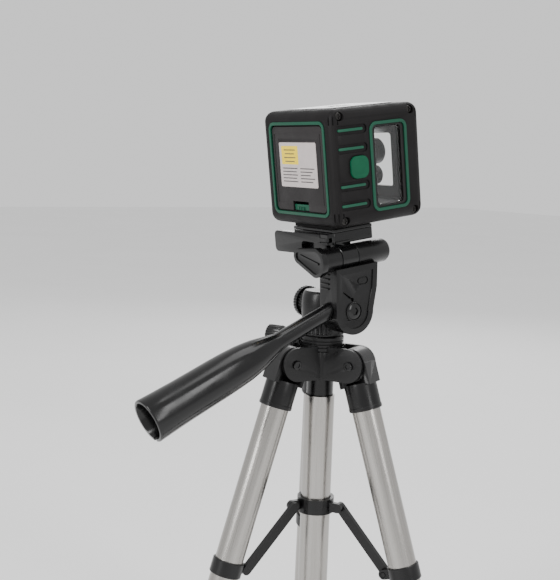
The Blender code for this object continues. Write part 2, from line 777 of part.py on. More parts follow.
def make_tilt_body():
    bottom = arc((0, 0), ARM_ROUND, 180 + 8, 360 - 4, 16)
    body = outline(
        TILT_FRAME,
        "YZ",
        [(ARM_TOP_REAR, ARM_TOP), *bottom, (17.4 * MM, 12.0 * MM), (ARM_TOP_FRONT, ARM_TOP)],
        (ARM_INNER_X, ARM_OUTER_X),
    )
    soften(body, ARM_EDGE)
    flip_centre = (FLIP_X, FLIP_Z)
    rear = rod(TILT_FRAME, "Y", BARREL_RADIUS, BARREL_REAR, flip_centre)
    front = rod(TILT_FRAME, "Y", BARREL_RADIUS, BARREL_FRONT, flip_centre)
    room = rod(TILT_FRAME, "Y", BARREL_RADIUS + 0.5 * MM, grown(BARREL_MIDDLE, GAP), flip_centre)
    web_half = 3.6 * MM
    web_x = (FLIP_X - web_half, FLIP_X + web_half)
    web_z = (ARM_TOP - 2 * MM, FLIP_Z)
    rear_web = box(TILT_FRAME, web_x, (ARM_TOP_REAR + 2 * MM, BARREL_REAR[1]), web_z)
    front_web = box(TILT_FRAME, web_x, (BARREL_FRONT[0], ARM_TOP_FRONT - 2 * MM), web_z)
    pin_hole = rod(TILT_FRAME, "Y", FLIP_PIN_RADIUS + GAP, (-30 * MM, 29 * MM), flip_centre, 16)
    axle_hole = rod(TILT_FRAME, "X", TILT_PIN_RADIUS + GAP, (0, 25 * MM), steps=16)
    stud_frame = empty(
        "handle_frame", TILT_FRAME, (FLIP_X, HANDLE_START, HANDLE_Z), (HANDLE_DROOP, 0, 0)
    )
    handle_hole = rod(stud_frame, "Y", STUD_RADIUS + GAP, (-5 * MM, STUD_REACH), steps=16)
    seat = rod(stud_frame, "Y", 5.2 * MM, (-10 * MM, 0), steps=20)
    cut(body, room)
    join(body, rear, front, rear_web, front_web)
    cut(body, pin_hole, axle_hole, handle_hole, seat)
    node(body, "tilt_body", "plastic")

    axle = rod(TILT_FRAME, "X", TILT_PIN_RADIUS, (KNOB_SPAN[0] + 3 * MM, 24 * MM), steps=16)
    node(axle, "tilt_axle", "steel")
    pin = rod(FLIP_FRAME, "Y", FLIP_PIN_RADIUS, (BARREL_REAR[0], 28.5 * MM), steps=16)
    node(pin, "flip_axle", "steel")


def make_tilt_knob():
    outer, inner = KNOB_SPAN
    knob = turned(
        TILT_FRAME,
        [
            (0, inner),
            (KNOB_DRUM_RADIUS, inner),
            (KNOB_DRUM_RADIUS, outer + KNOB_RIM),
            (KNOB_RADIUS, outer + KNOB_RIM),
            (KNOB_RADIUS, outer + MM),
            (KNOB_RADIUS - MM, outer),
            (0, outer),
        ],
        steps=TUBE_STEPS,
        turn=AXIS_TURNS["X"],
    )
    hole = rod(TILT_FRAME, "X", TILT_PIN_RADIUS + GAP, (outer + 2.6 * MM, inner + MM), steps=16)
    cut(knob, hole)
    node(knob, "tilt_knob", "plastic")


def make_wing():
    tip_x, tip_z = WING_TIP
    root = arc((0, 0), WING_ROOT_RADIUS, -100, 78, 12)
    tip = arc((tip_x, tip_z), WING_TIP_RADIUS, 78, 240, 8)
    wing = outline(FLIP_FRAME, "XZ", [*root, *tip], WING_PLACE)
    soften(wing, 0.8 * MM)
    node(wing, "flip_wing", "plastic")


def make_handle():
    frame = bpy.data.objects["handle_frame"]
    turn = Matrix.Rotation(math.radians(90), 4, "X")
    start = HANDLE_PROFILE_MM[0]
    length = HANDLE_PROFILE_MM[-1][0] * MM
    gap_at_arm = 0.4 * MM
    profile = [(0, length)]
    profile += [(radius * MM, s * MM) for s, radius in reversed(HANDLE_PROFILE_MM[1:])]
    profile += [(start[1] * MM, gap_at_arm), (0, gap_at_arm)]
    handle = turned(frame, profile, steps=TUBE_STEPS, turn=turn)
    bore = rod(frame, "Y", HANDLE_BORE_RADIUS, (-length - MM, -length + HANDLE_BORE_DEPTH))
    stud_bore = rod(frame, "Y", STUD_RADIUS + GAP, (-STUD_LENGTH, MM), steps=16)
    cut(handle, bore, stud_bore)
    node(handle, "pan_handle", "plastic")
    stud = rod(frame, "Y", STUD_RADIUS, (-STUD_LENGTH + MM, STUD_REACH - 0.5 * MM), steps=16)
    node(stud, "handle_stud", "steel")


def make_platform():
    half = PLATFORM_HALF_X
    low, high = PLATFORM_Z
    body = box(TILT_FRAME, (-half, half), PLATFORM_Y, (low, high), 0.8 * MM)
    flip_centre = (FLIP_X, FLIP_Z)
    knuckle = rod(TILT_FRAME, "Y", BARREL_RADIUS, BARREL_MIDDLE, flip_centre)
    web_y = grown(BARREL_MIDDLE, -0.4 * MM)
    web = box(TILT_FRAME, (FLIP_X - 5.0 * MM, FLIP_X), web_y, (FLIP_Z, low + 1.5 * MM))
    ear_x = (12.6 * MM, half - 0.3 * MM)
    ear_y = (LEVER_Y[0], PLATFORM_Y[0] + 1.5 * MM)
    skirt = box(TILT_FRAME, SKIRT_X, SKIRT_Y, (SKIRT_BOTTOM, low + 0.6 * MM))
    top_ear = box(TILT_FRAME, ear_x, ear_y, (high - 2.2 * MM, high - 0.3 * MM))
    low_ear = box(TILT_FRAME, ear_x, ear_y, (low + 0.2 * MM, low + 1.6 * MM))
    pin_hole = rod(TILT_FRAME, "Y", FLIP_PIN_RADIUS + GAP, (-10 * MM, 12 * MM), flip_centre, 16)
    ear_hole = rod(
        TILT_FRAME, "Z", 1.3 * MM, (low - MM, high + MM), (LEVER_PIN_X, sum(LEVER_Y) / 2), 12
    )
    recess = box(
        TILT_FRAME,
        (-half + 3.5 * MM, half - 3.5 * MM),
        (PLATFORM_Y[0] + 3.5 * MM, PLATFORM_Y[1] - 3.5 * MM),
        (high - PLATE_DROP - GAP, high + MM),
    )
    screw_room = rod(TILT_FRAME, "Z", 7.0 * MM, (low - MM, high), (0, SCREW_PLACE_Y))
    join(body, web, skirt, knuckle, top_ear, low_ear)
    cut(body, pin_hole, ear_hole, recess, screw_room)
    node(body, "platform", "plastic")


def make_plate():
    half = PLATFORM_HALF_X
    low = PLATFORM_Z[1] - PLATE_DROP
    pad_bottom = PAD_TOP - PAD_THICKNESS
    inset = 3.9 * MM
    plate = box(
        TILT_FRAME,
        (-half + inset, half - inset),
        (PLATFORM_Y[0] + inset, PLATFORM_Y[1] - inset),
        (low, PLATFORM_Z[1] + MM),
    )
    flange = box(
        TILT_FRAME, (-half, half), PLATFORM_Y, (PLATFORM_Z[1] + GAP, pad_bottom - GAP / 3), 0.3 * MM, 1
    )
    hole = rod(TILT_FRAME, "Z", 3.3 * MM, (low - MM, PAD_TOP), (0, SCREW_PLACE_Y), 20)
    join(plate, flange)
    cut(plate, hole)
    node(plate, "mount_plate", "plastic")
    pad_inset = 0.8 * MM
    pad = box(
        TILT_FRAME,
        (-half + pad_inset, half - pad_inset),
        (PLATFORM_Y[0] + pad_inset, PLATFORM_Y[1] - pad_inset),
        (pad_bottom, PAD_TOP),
    )
    pad_hole = rod(TILT_FRAME, "Z", 4.2 * MM, (pad_bottom - MM, PAD_TOP + MM), (0, SCREW_PLACE_Y), 20)
    cut(pad, pad_hole)
    node(pad, "mount_pad", "rubber")


def make_mount_screw():
    screw_frame = empty("screw_frame", TILT_FRAME, (0, SCREW_PLACE_Y, 0))
    top = LASER_Z - CASING_Z / 2 + 6 * MM
    head_top = PLATFORM_Z[1] - PLATE_DROP - GAP
    screw = turned(
        screw_frame,
        [
            (0, top),
            (2.4 * MM, top),
            (3.0 * MM, top - 0.6 * MM),
            (3.0 * MM, head_top),
            (6.2 * MM, head_top),
            (6.2 * MM, head_top - 2.2 * MM),
            (0, head_top - 2.2 * MM),
        ],
        steps=20,
    )
    node(screw, "mount_screw", "steel")


def make_lever():
    y0, y1 = LEVER_Y
    tab = outline(
        TILT_FRAME,
        "XZ",
        [
            *arc((LEVER_X[0] + 3 * MM, LEVER_Z[0] + 3 * MM), 3 * MM, 180, 270, 4),
            (LEVER_STEP_X, LEVER_Z[0] + 0.6 * MM),
            (LEVER_STEP_X, LEVER_STEP_Z),
            (LEVER_X[1], LEVER_STEP_Z),
            (LEVER_X[1], LEVER_Z[1]),
            *arc((LEVER_X[0] + 3 * MM, LEVER_Z[1] - 3.6 * MM), 3 * MM, 90, 180, 4),
        ],
        LEVER_Y,
    )
    middle = (y0 + y1) / 2
    eye = rod(TILT_FRAME, "Z", (y1 - y0) / 2, (40.8 * MM, 42.9 * MM), (LEVER_PIN_X, middle), 16)
    bridge = box(TILT_FRAME, (11.0 * MM, LEVER_PIN_X), LEVER_Y, (40.8 * MM, 42.9 * MM))
    pin_span = grown(PLATFORM_Z, -GAP)
    pin = rod(TILT_FRAME, "Z", 1.0 * MM, pin_span, (LEVER_PIN_X, middle), 12)
    join(tab, bridge, eye, pin)
    node(tab, "release_lever", "plastic")


# ---------------------------------------------------------------- laser


def make_casing():
    hx, hy, hz = CASING_X / 2, CASING_Y / 2, CASING_Z / 2
    casing = box(LASER_FRAME, (-hx, hx), (-hy, hy), (-hz, hz), CASING_ROUND, 3)
    inner_x = hx - CASING_WALL
    cabin = box(LASER_FRAME, (-inner_x, inner_x), CABIN_Y, CABIN_Z)
    side_windows = outline(
        LASER_FRAME, "YZ", rounded(WINDOW_Y, WINDOW_Z, 2.5 * MM, 3), (-hx - MM, hx + MM)
    )
    front_x = (-FRONT_WINDOW_X, FRONT_WINDOW_X)
    front_window = outline(
        LASER_FRAME, "XZ", rounded(front_x, FRONT_WINDOW_Z, 2 * MM, 3), (CABIN_Y[1] - 2 * MM, hy + MM)
    )
    b = BATTERY_HALF
    battery = box(LASER_FRAME, (-b, b), (-hy - MM, BATTERY_DEPTH), (-b, b))
    d = DOOR_HALF + GAP
    pocket_floor = DOOR_FACE + DOOR_THICKNESS + GAP
    pocket = outline(
        LASER_FRAME, "XZ", rounded((-d, d), (-d, d), 3 * MM, 3), (-hy - MM, pocket_floor)
    )
    swing_room = box(
        LASER_FRAME, (-d, d), (-hy - MM, pocket_floor + 2.6 * MM), (DOOR_HALF - 5.2 * MM, d)
    )
    r = REAR_TRIM_HALF + GAP
    rear_groove = outline(
        LASER_FRAME, "XZ", rounded((-r, r), (-r, r), 5 * MM, 4), (-hy - MM, -hy + TRIM_DEPTH)
    )
    button_hole = outline(
        LASER_FRAME,
        "YZ",
        rounded(*button_outline(BUTTON_HALF + GAP), 3.4 * MM, 4),
        (BUTTON_INNER_X - 2 * MM, hx + MM),
    )
    cut(casing, cabin, side_windows, front_window, battery, pocket, swing_room, rear_groove, button_hole)
    for side in (-1, 1):
        groove = outline(
            LASER_FRAME,
            "YZ",
            rounded(grown(SIDE_TRIM_Y, GAP), grown(SIDE_TRIM_Z, GAP), 5 * MM, 4),
            sorted((side * (hx - TRIM_DEPTH), side * (hx + MM))),
        )
        cut(casing, groove)
        for y, z in SCREW_HOLES:
            for level in (-z, z):
                hole = rod(
                    LASER_FRAME,
                    "X",
                    SCREW_HOLE_RADIUS,
                    sorted((side * SCREW_HOLE_FLOOR, side * (hx + MM))),
                    (y, level),
                    12,
                )
                cut(casing, hole)
        lug = box(
            LASER_FRAME,
            sorted((side * GIMBAL_LUG_X[0], side * GIMBAL_LUG_X[1])),
            (GIMBAL_Y - 2.5 * MM, GIMBAL_Y + 2.5 * MM),
            (GIMBAL_Z - 2.5 * MM, CABIN_Z[1] + MM),
        )
        join(casing, lug)
    gimbal_hole = rod(
        LASER_FRAME, "X", GIMBAL_PIN + GAP, (-13 * MM, 13 * MM), (GIMBAL_Y, GIMBAL_Z), 12
    )
    panel_room = outline(
        LASER_FRAME,
        "XY",
        rounded(grown((-PANEL_X, PANEL_X), GAP), grown(PANEL_Y, GAP), 5 * MM, 4),
        (hz - PANEL_DEPTH, hz + MM),
    )
    thread = rod(
        LASER_FRAME, "Z", 3.3 * MM, (-hz - MM, -hz + 7 * MM), (0, SCREW_PLACE_Y - LASER_Y), 20
    )
    cut(casing, gimbal_hole, panel_room, thread)
    node(casing, "laser_casing", "rubber")


def button_outline(half):
    return (BUTTON_Y - half, BUTTON_Y + half), (BUTTON_Z - half, BUTTON_Z + half)


def make_laser_skin():
    hx, hy, hz = CASING_X / 2, CASING_Y / 2, CASING_Z / 2
    panel = outline(
        LASER_FRAME,
        "XY",
        rounded((-PANEL_X, PANEL_X), PANEL_Y, 4.7 * MM, 4),
        (hz - PANEL_DEPTH + GAP / 2, hz + PANEL_PROUD),
    )
    vial_hole = rod(LASER_FRAME, "Z", VIAL_RADIUS + 0.15 * MM, (hz - 3 * MM, hz + 3 * MM), steps=20)
    cut(panel, vial_hole)
    node(panel, "casing_top_panel", "panel")
    vial = rod(
        LASER_FRAME, "Z", VIAL_RADIUS, (hz - PANEL_DEPTH + GAP / 2, hz + PANEL_PROUD), steps=20
    )
    node(vial, "bubble_vial", "vial")
    for side, name in ((1, "right"), (-1, "left")):
        depth = sorted((side * (hx - TRIM_DEPTH + GAP / 2), side * (hx + TRIM_PROUD)))
        trim = frame_ring(LASER_FRAME, "YZ", SIDE_TRIM_Y, SIDE_TRIM_Z, 4.7 * MM, TRIM_WIDTH, depth)
        node(trim, f"window_trim_{name}", "green")
        pane_depth = sorted((side * (hx - 2.9 * MM), side * (hx - 1.7 * MM)))
        pane_y = grown(WINDOW_Y, -GAP)
        pane_z = grown(WINDOW_Z, -GAP)
        pane = outline(LASER_FRAME, "YZ", rounded(pane_y, pane_z, 2.2 * MM, 3), pane_depth)
        node(pane, f"window_pane_{name}", "glass")
    r = REAR_TRIM_HALF
    depth = (-hy - TRIM_PROUD, -hy + TRIM_DEPTH - GAP / 2)
    rear_trim = frame_ring(LASER_FRAME, "XZ", (-r, r), (-r, r), 4.7 * MM, TRIM_WIDTH, depth)
    node(rear_trim, "rear_trim", "green")
    button = outline(
        LASER_FRAME,
        "YZ",
        rounded(*button_outline(BUTTON_HALF), 3.2 * MM, 4),
        (BUTTON_INNER_X, hx + BUTTON_PROUD),
    )
    soften(button, 0.6 * MM)
    node(button, "mode_button", "green")


def make_door():
    d = DOOR_HALF
    door = outline(
        LASER_FRAME, "XZ", rounded((-d, d), (-d, d), 2.7 * MM, 3), (DOOR_FACE, DOOR_FACE + DOOR_THICKNESS)
    )
    notch = box(
        LASER_FRAME, LATCH_X, (DOOR_FACE - MM, DOOR_FACE + DOOR_THICKNESS + MM), (-d - MM, LATCH_TOP)
    )
    relief = box(
        LASER_FRAME, (-d - MM, d + MM), (-1.8 * MM, 1.8 * MM), (-1.8 * MM, 1.8 * MM)
    )
    relief.rotation_euler = (math.radians(45), 0, 0)
    relief.location = (0, DOOR_FACE + DOOR_THICKNESS + 0.5 * MM, d + 0.5 * MM)
    cut(door, notch, relief)
    node(door, "battery_door", "door")
    label = outline(
        LASER_FRAME,
        "XZ",
        rounded((-LABEL_HALF_X, LABEL_HALF_X), LABEL_Z, 1.0 * MM, 2),
        (DOOR_FACE - 0.3 * MM, DOOR_FACE - 0.05 * MM),
    )
    node(label, "rating_label", "label")
    inset = 0.4 * MM
    latch = box(
        LASER_FRAME,
        grown(LATCH_X, -inset),
        (DOOR_FACE + 0.9 * MM, DOOR_FACE + DOOR_THICKNESS),
        (-d + 0.1 * MM, LATCH_TOP - 1.9 * MM),
    )
    thumb = box(
        LASER_FRAME,
        grown(LATCH_X, -3.4 * MM),
        (DOOR_FACE + 0.2 * MM, DOOR_FACE + 1.2 * MM),
        (-d + 0.1 * MM, -22.4 * MM),
    )
    join(latch, thumb)
    node(latch, "door_latch", "green")


def make_pendulum():
    half = 1.6 * MM
    ring = rod(LASER_FRAME, "Z", GIMBAL_RADIUS, (GIMBAL_Z - half, GIMBAL_Z + half), (0, GIMBAL_Y), 20)
    pins = rod(LASER_FRAME, "X", GIMBAL_PIN, (-12.6 * MM, 12.6 * MM), (GIMBAL_Y, GIMBAL_Z), 12)
    bore = rod(LASER_FRAME, "Z", GIMBAL_BORE, (GIMBAL_Z - 4 * MM, GIMBAL_Z + 4 * MM), (0, GIMBAL_Y), 20)
    cross_hole = rod(
        LASER_FRAME,
        "Y",
        GIMBAL_PIN + GAP,
        (GIMBAL_Y - 10 * MM, GIMBAL_Y + 10 * MM),
        (0, GIMBAL_Z),
        12,
    )
    join(ring, pins)
    cut(ring, bore, cross_hole)
    node(ring, "gimbal_ring", "brass")

    y0, y1 = PENDULUM_Y
    z0, z1 = PENDULUM_Z
    block = box(LASER_FRAME, (-PENDULUM_HALF_X, PENDULUM_HALF_X), (y0, y1), (z0, z1), 1.0 * MM)
    neck = rod(LASER_FRAME, "Z", 3.4 * MM, (z1 - MM, GIMBAL_Z + 2 * MM), (0, GIMBAL_Y), 16)
    cross_pin = rod(
        LASER_FRAME,
        "Y",
        GIMBAL_PIN,
        (GIMBAL_Y - 7.2 * MM, GIMBAL_Y + 7.2 * MM),
        (0, GIMBAL_Z),
        12,
    )
    upper_bore = rod(LASER_FRAME, "Y", 6.0 * MM, (y0 - MM, y1 + MM), (0, UPPER_MODULE_Z))
    lower_bore = rod(LASER_FRAME, "Y", 4.6 * MM, (y0 - MM, y1 + MM), (0, LOWER_MODULE_Z))
    join(block, neck, cross_pin)
    cut(block, upper_bore, lower_bore)
    node(block, "pendulum_frame", "brass")
    make_module("laser_module_upper", UPPER_MODULE_Z, UPPER_MODULE_RADIUS, 5.7 * MM, UPPER_MODULE_FRONT)
    make_module("laser_module_lower", LOWER_MODULE_Z, LOWER_MODULE_RADIUS, 4.3 * MM, LOWER_MODULE_FRONT)


def make_module(name, level, head, barrel, front):
    """A barrel with a wider head in front, and a shallow lens seat in the head."""
    lens = barrel * 0.6
    back = PENDULUM_Y[0] - MM
    head_back = PENDULUM_Y[1] + GAP
    module = turned(
        LASER_FRAME,
        [
            (0, front - MM),
            (lens, front - MM),
            (lens, front),
            (head - 0.8 * MM, front),
            (head, front - 0.8 * MM),
            (head, head_back),
            (barrel, head_back),
            (barrel, back),
            (0, back),
        ],
        steps=TUBE_STEPS,
        turn=Matrix.Translation((0, 0, level)) @ AXIS_TURNS["Y"],
    )
    node(module, name, "plastic")


def main():
    make_spider()
    for number in range(len(LEG_AZIMUTHS)):
        make_leg(number)
    make_brace_ring()
    make_column()
    make_pan_base()
    make_tilt_body()
    make_tilt_knob()
    make_wing()
    make_handle()
    make_platform()
    make_plate()
    make_mount_screw()
    make_lever()
    make_casing()
    make_laser_skin()
    make_door()
    make_pendulum()


main()
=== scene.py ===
"""Looks of the laser level on its tripod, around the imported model.

Shapes are in millimetres in the frame of the part they belong to. Every frame comes from the
packed joints, so each piece sits where the model's own part is.
"""

import json
import math
from itertools import product

import bmesh
import bpy
from mathutils import Matrix, Vector


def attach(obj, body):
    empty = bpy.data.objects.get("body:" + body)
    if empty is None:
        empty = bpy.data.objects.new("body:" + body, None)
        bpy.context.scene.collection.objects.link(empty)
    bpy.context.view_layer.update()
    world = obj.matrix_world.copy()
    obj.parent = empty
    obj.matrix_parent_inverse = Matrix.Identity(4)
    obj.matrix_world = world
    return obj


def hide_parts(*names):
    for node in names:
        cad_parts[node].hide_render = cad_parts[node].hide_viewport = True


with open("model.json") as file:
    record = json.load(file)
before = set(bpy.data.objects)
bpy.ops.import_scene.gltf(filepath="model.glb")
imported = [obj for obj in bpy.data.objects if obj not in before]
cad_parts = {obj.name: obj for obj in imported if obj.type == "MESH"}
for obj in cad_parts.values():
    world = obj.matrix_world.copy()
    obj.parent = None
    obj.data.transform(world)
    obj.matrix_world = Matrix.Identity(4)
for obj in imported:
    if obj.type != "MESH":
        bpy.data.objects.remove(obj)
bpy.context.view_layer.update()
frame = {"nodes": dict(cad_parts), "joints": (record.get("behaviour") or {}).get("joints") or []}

MM = 0.001
GAP = 0.3
ROUND = 72
FINE = 96
COARSE = 32
MERGE = 0.002 * MM
JOINTS = {joint["name"]: joint for joint in frame["joints"]}
LEGS = (1, 2, 3)

# Camera, measured from the tripod's axis at the height of the hub.
CAMERA_PLACE = (481.75, -368.45, 120.87)
CAMERA_HEADING = math.radians(55.05)
CAMERA_PITCH = math.radians(-7.21)
CAMERA_ROLL = math.radians(1.92)
CAMERA_LENS = 65.85
SENSOR_WIDTH = 36.0

# Studio, in metres. Each light has a name, its place from the hub, its size and its power.
FLOOR_SIZE = 12.0
WORLD_STRENGTH = 0.95
LIGHT_AIM = 0.08
LIGHTS = (
    ("key", (0.15, -1.4, 0.75), (0.40, 1.3), 17.0),
    ("side", (1.45, 0.15, 0.75), (0.30, 1.3), 9.0),
    ("top", (0.15, 0.35, 1.7), (1.0, 1.0), 9.0),
    ("back", (-1.1, 1.0, 0.8), (0.6, 1.2), 6.0),
)

# Laser, in a frame at the middle of its casing.
LASER_CENTRE = (0, 20.2, 82.6)
CASING = (34.75, 32.25, 33.0)
CASING_ROUND = 6.0
CASING_WALL = 3.2
CABIN_Y = (-3.5, 29.2)
CABIN_Z = (-24.0, 24.0)
WINDOW_Y = (-3.0, 16.2)
WINDOW_Z = (-23.0, 21.2)
FRONT_WINDOW_X = (-10.0, 10.0)
FRONT_WINDOW_Z = (-17.0, 15.0)
SIDE_TRIM_Y = (-6.7, 20.6)
SIDE_TRIM_Z = (-26.3, 24.2)
REAR_TRIM = 26.9
TRIM_WIDTH = 1.8
TRIM_ROUND = 4.7
TRIM_DEPTH = 1.2
TRIM_PROUD = 0.4
DOOR = 24.2
DOOR_FACE = -32.0
DOOR_THICKNESS = 2.2
LATCH_X = (-8.0, 7.2)
LATCH_TOP = -18.8
BATTERY = 21.5
BATTERY_DEPTH = -7.0
BATTERY_ROWS = (-14.4, 0.0, 14.4)
LABEL_X = (-17.9, 17.9)
LABEL_Z = (-10.5, 15.2)
PATCH_X = (-15.8, 0.4)
PATCH_Z = (2.6, 13.2)
BUTTON_Y = -15.5
BUTTON_Z = 0.2
BUTTON_HALF = 6.2
BUTTON_BACK = 31.6
BUTTON_PROUD = 1.0
RIB_LEVELS = (21.2, 10.9, -9.9, -20.6)
RIB_Y = (-28.6, -11.2)
RIB_HALF = 0.75
RIB_GROOVE = (2.6, 0.9)
RIB_GROOVE_Y = (-30.2, -8.6)
RIB_GROOVE_ROUND = 2.4
SCREW_PLACES = ((-26.6, 29.0), (24.6, 29.0))
SCREW_HOLE = 2.6
SCREW_HEAD = 2.2
SCREW_CROSS = (1.4, 0.3)
SCREW_FLOOR = 31.6
SCREW_X = (31.7, 33.1)
SLOT_TURNS = (20, 45, 70)
SLOT_HALF = 0.4
SLOT_DEPTH = 0.7
SLOT_FROM = 24.5
FRONT_FRAME_X = (-24.0, 24.0)
FRONT_FRAME_Z = (-24.0, 22.0)
MODULE_LUG_X = (9.6, 12.8)
MODULE_LUG_Y = (9.5, 14.5)
MODULE_LUG_Z = (17.0, 24.5)
SWING_DEPTH = 2.6
SWING_HEIGHT = 5.2
THREAD_BORE = 3.3
THREAD_DEPTH = 7.0
PANEL_X = (-22.0, 22.0)
PANEL_Y = (-22.0, 24.0)
PANEL_DEPTH = 0.9
PANEL_PROUD = 0.5
VIAL_RADIUS = 6.0
UPPER_MODULE = (4.5, 7.7, 5.7, 27.5)
LOWER_MODULE = (-9.7, 5.7, 4.3, 26.3)
MODULE_BACK = 0.0
MODULE_HEAD_BACK = 19.3
SCREW_Y = 9.5

# Platform, plate, pad, lever and portrait hinge, in the tilting frame.
PLATFORM_X = (-19.45, 19.45)
PLATFORM_Y = (-5.4, 24.4)
PLATFORM_Z = (38.8, 45.3)
PLATE_DROP = 2.2
PAD_TOP = 49.3
PAD_BOTTOM = 47.3
LEVER_Y = (-9.2, -5.8)
LEVER_X = (-34.2, 12.0)
LEVER_Z = (31.4, 44.8)
LEVER_STEP = (-6.5, 39.9)
SKIRT_X = (-16.0, 12.4)
SKIRT_Y = (-4.7, -0.7)
SKIRT_BOTTOM = 31.8
LEVER_PIN_X = 16.2
FLIP = (20.5, 31.0)
BARREL = 7.0
BARREL_REAR = (-16.3, -5.1)
BARREL_MIDDLE = (-4.8, 6.6)
BARREL_FRONT = (6.9, 31.0)
WING_Y = (-20.6, -16.8)

# Tilting arm and knob.
ARM_X = (12.6, 28.5)
ARM_ROUND = 13.6
ARM_TOP = 26.0
ARM_TOP_Y = (-11.2, 19.0)
KNOB_X = (-19.5, -12.4)
KNOB_RADIUS = 9.6
KNOB_DRUM = 8.0
TILT_PIN = 2.5

# Handle, along the local -Y of its own frame.
HANDLE_LENGTH = 127.0
HANDLE_STATIONS = (
    (0.4, 4.8), (36.0, 4.95), (39.0, 5.2), (42.0, 5.9), (46.0, 6.95),
    (50.0, 8.0), (54.0, 8.95), (59.0, 9.8), (64.0, 10.45), (72.0, 10.95),
    (82.0, 11.25), (105.0, 11.55), (118.0, 11.95), (126.2, 12.3),
)
HANDLE_BORE = (10.3, 16.0)

# Post, collar and column, in the tripod's frame.
POST_RADIUS = 13.0
POST_FLAT = 12.2
POST_Z = (19.1, 45.0)
POST_SOCKET = (7.3, 30.0)
POST_RIB_TOP = 27.5
POST_DOME = ((2.2, 0), (1.5, 0.5), (0.7, 2.2), (0.2, 5.0), (0, 8.5), (0.2, 12.5))
TILT_AXIS = (1.5, 36.0)
COLLAR_RADIUS = 13.2
COLLAR_Z = (9.8, 18.7)
COLUMN_RADIUS = 7.0
COLUMN_WALL = 0.9
COLUMN_Z = (29.7, -138.0)
GUIDE_RADIUS = 9.0
GUIDE_BORE = 8.2
GUIDE_Z = (-18.0, -142.0)
LOCK_KNOB = (6.4, 27.0, 36.0)
PAN_KNOB = (4.6, 14.5, 25.0)
STUD_RADIUS = 2.0

# Spider and legs, in the tripod's frame and in each leg's frame.
HINGE = (22.9, 3.0)
ARM_END = (21.5, 10.0)
ARM_WIDTH = 20.4
ARM_SLOT = 15.0
HUB_RADIUS = 12.3
HUB_Z = (-7.0, 9.5)
HUB_BORE = 7.35
SPIGOT = (8.0, -30.0)
CASTING_RADIUS = 9.9
CASTING_TONGUE = 14.4
BOLT_HEAD = 2.7
BOLT_SOCKET = 1.4
CASTING_Z = (-10.5, -27.3)
TUBES = {
    "upper": (8.4, -14.0, -212.0),
    "middle": (7.0, -22.0, -226.0),
    "lower": (5.6, -28.0, -243.0),
}
LEG_WALL = 0.8
NUTS = {"upper": (-202.0, -220.0), "lower": (-221.0, -236.0)}
NUT_WALL = 2.4
FOOT_Z = (-237.0, -256.0)
FOOT_RADIUS = 8.9
LUG = (-12.6, -125.0)
LUG_RADIUS = 2.9


# -------- frames


def axes_frame(origin, x, y, z):
    made = Matrix.Translation(Vector(origin))
    for column, axis in enumerate((x, y, z)):
        for row in range(3):
            made[row][column] = axis[row]
    return made


def from_x_and_z(origin, x, z):
    x = Vector(x).normalized()
    z = Vector(z).normalized()
    return axes_frame(origin, x, z.cross(x), z)


def moved(matrix, x, y, z):
    return matrix @ Matrix.Translation(Vector((x, y, z)) * MM)


def knob_frame(joint):
    """X along the knob's stud and Z up."""
    return from_x_and_z(JOINTS[joint]["pos_m"], JOINTS[joint]["axis"], UP)


UP = Vector((0, 0, 1))
TRIPOD = Matrix.Translation(Vector(JOINTS["pan_turn"]["pos_m"]))
TILT = from_x_and_z(
    JOINTS["tilt"]["pos_m"], JOINTS["tilt"]["axis"], JOINTS["plate_lift"]["axis"]
)
LASER = moved(TILT, *LASER_CENTRE)
LOCK = knob_frame("column_lock_turn")
PAN_LOCK = knob_frame("pan_lock_turn")


def handle_frame():
    joint = JOINTS["handle_turn"]
    x = Vector(JOINTS["tilt"]["axis"]).normalized()
    y = Vector(joint["axis"]).normalized()
    return axes_frame(joint["pos_m"], x, y, x.cross(y))


def leg_frame(number):
    joint = JOINTS[f"leg_{number}_fold"]
    y = Vector(joint["axis"]).normalized()
    z = -Vector(JOINTS[f"leg_{number}_middle_slide"]["axis"]).normalized()
    return axes_frame(joint["pos_m"], y.cross(z), y, z)


def arm_frame(number):
    """The tripod's frame, turned so that X points at this leg."""
    y = Vector(JOINTS[f"leg_{number}_fold"]["axis"]).normalized()
    return axes_frame(TRIPOD.translation, y.cross(UP), y, UP)


HANDLE = handle_frame()


# -------- shapes


def linked(data, name="shape"):
    """A new object in the scene that holds this data."""
    obj = bpy.data.objects.new(name, data)
    bpy.context.scene.collection.objects.link(obj)
    return obj


def tidy(mesh):
    """Merges points that lie on each other and turns every face outward."""
    shape = bmesh.new()
    shape.from_mesh(mesh)
    bmesh.ops.remove_doubles(shape, verts=shape.verts, dist=MERGE)
    bmesh.ops.recalc_face_normals(shape, faces=shape.faces)
    shape.to_mesh(mesh)
    shape.free()


def shape_of(verts, faces):
    mesh = bpy.data.meshes.new("shape")
    mesh.from_pydata([Vector(v) * MM for v in verts], [], faces)
    tidy(mesh)
    return linked(mesh)


def box_parts(x, y, z):
    verts = [(a, b, c) for a in x for b in y for c in z]
    faces = [(0, 1, 3, 2), (4, 6, 7, 5), (0, 4, 5, 1), (2, 3, 7, 6), (0, 2, 6, 4), (1, 5, 7, 3)]
    return verts, faces


def boxes(*all_boxes):
    """Several separate boxes in one mesh, each given by its pairs x, y and z."""
    verts = []
    faces = []
    for x, y, z in all_boxes:
        new_verts, new_faces = box_parts(sorted(x), sorted(y), sorted(z))
        faces += [tuple(i + len(verts) for i in face) for face in new_faces]
        verts += new_verts
    return shape_of(verts, faces)


AXES = {
    "Z": Matrix.Identity(3),
    "X": Matrix.Rotation(math.radians(90), 3, "Y"),
    "Y": Matrix.Rotation(math.radians(-90), 3, "X"),
}


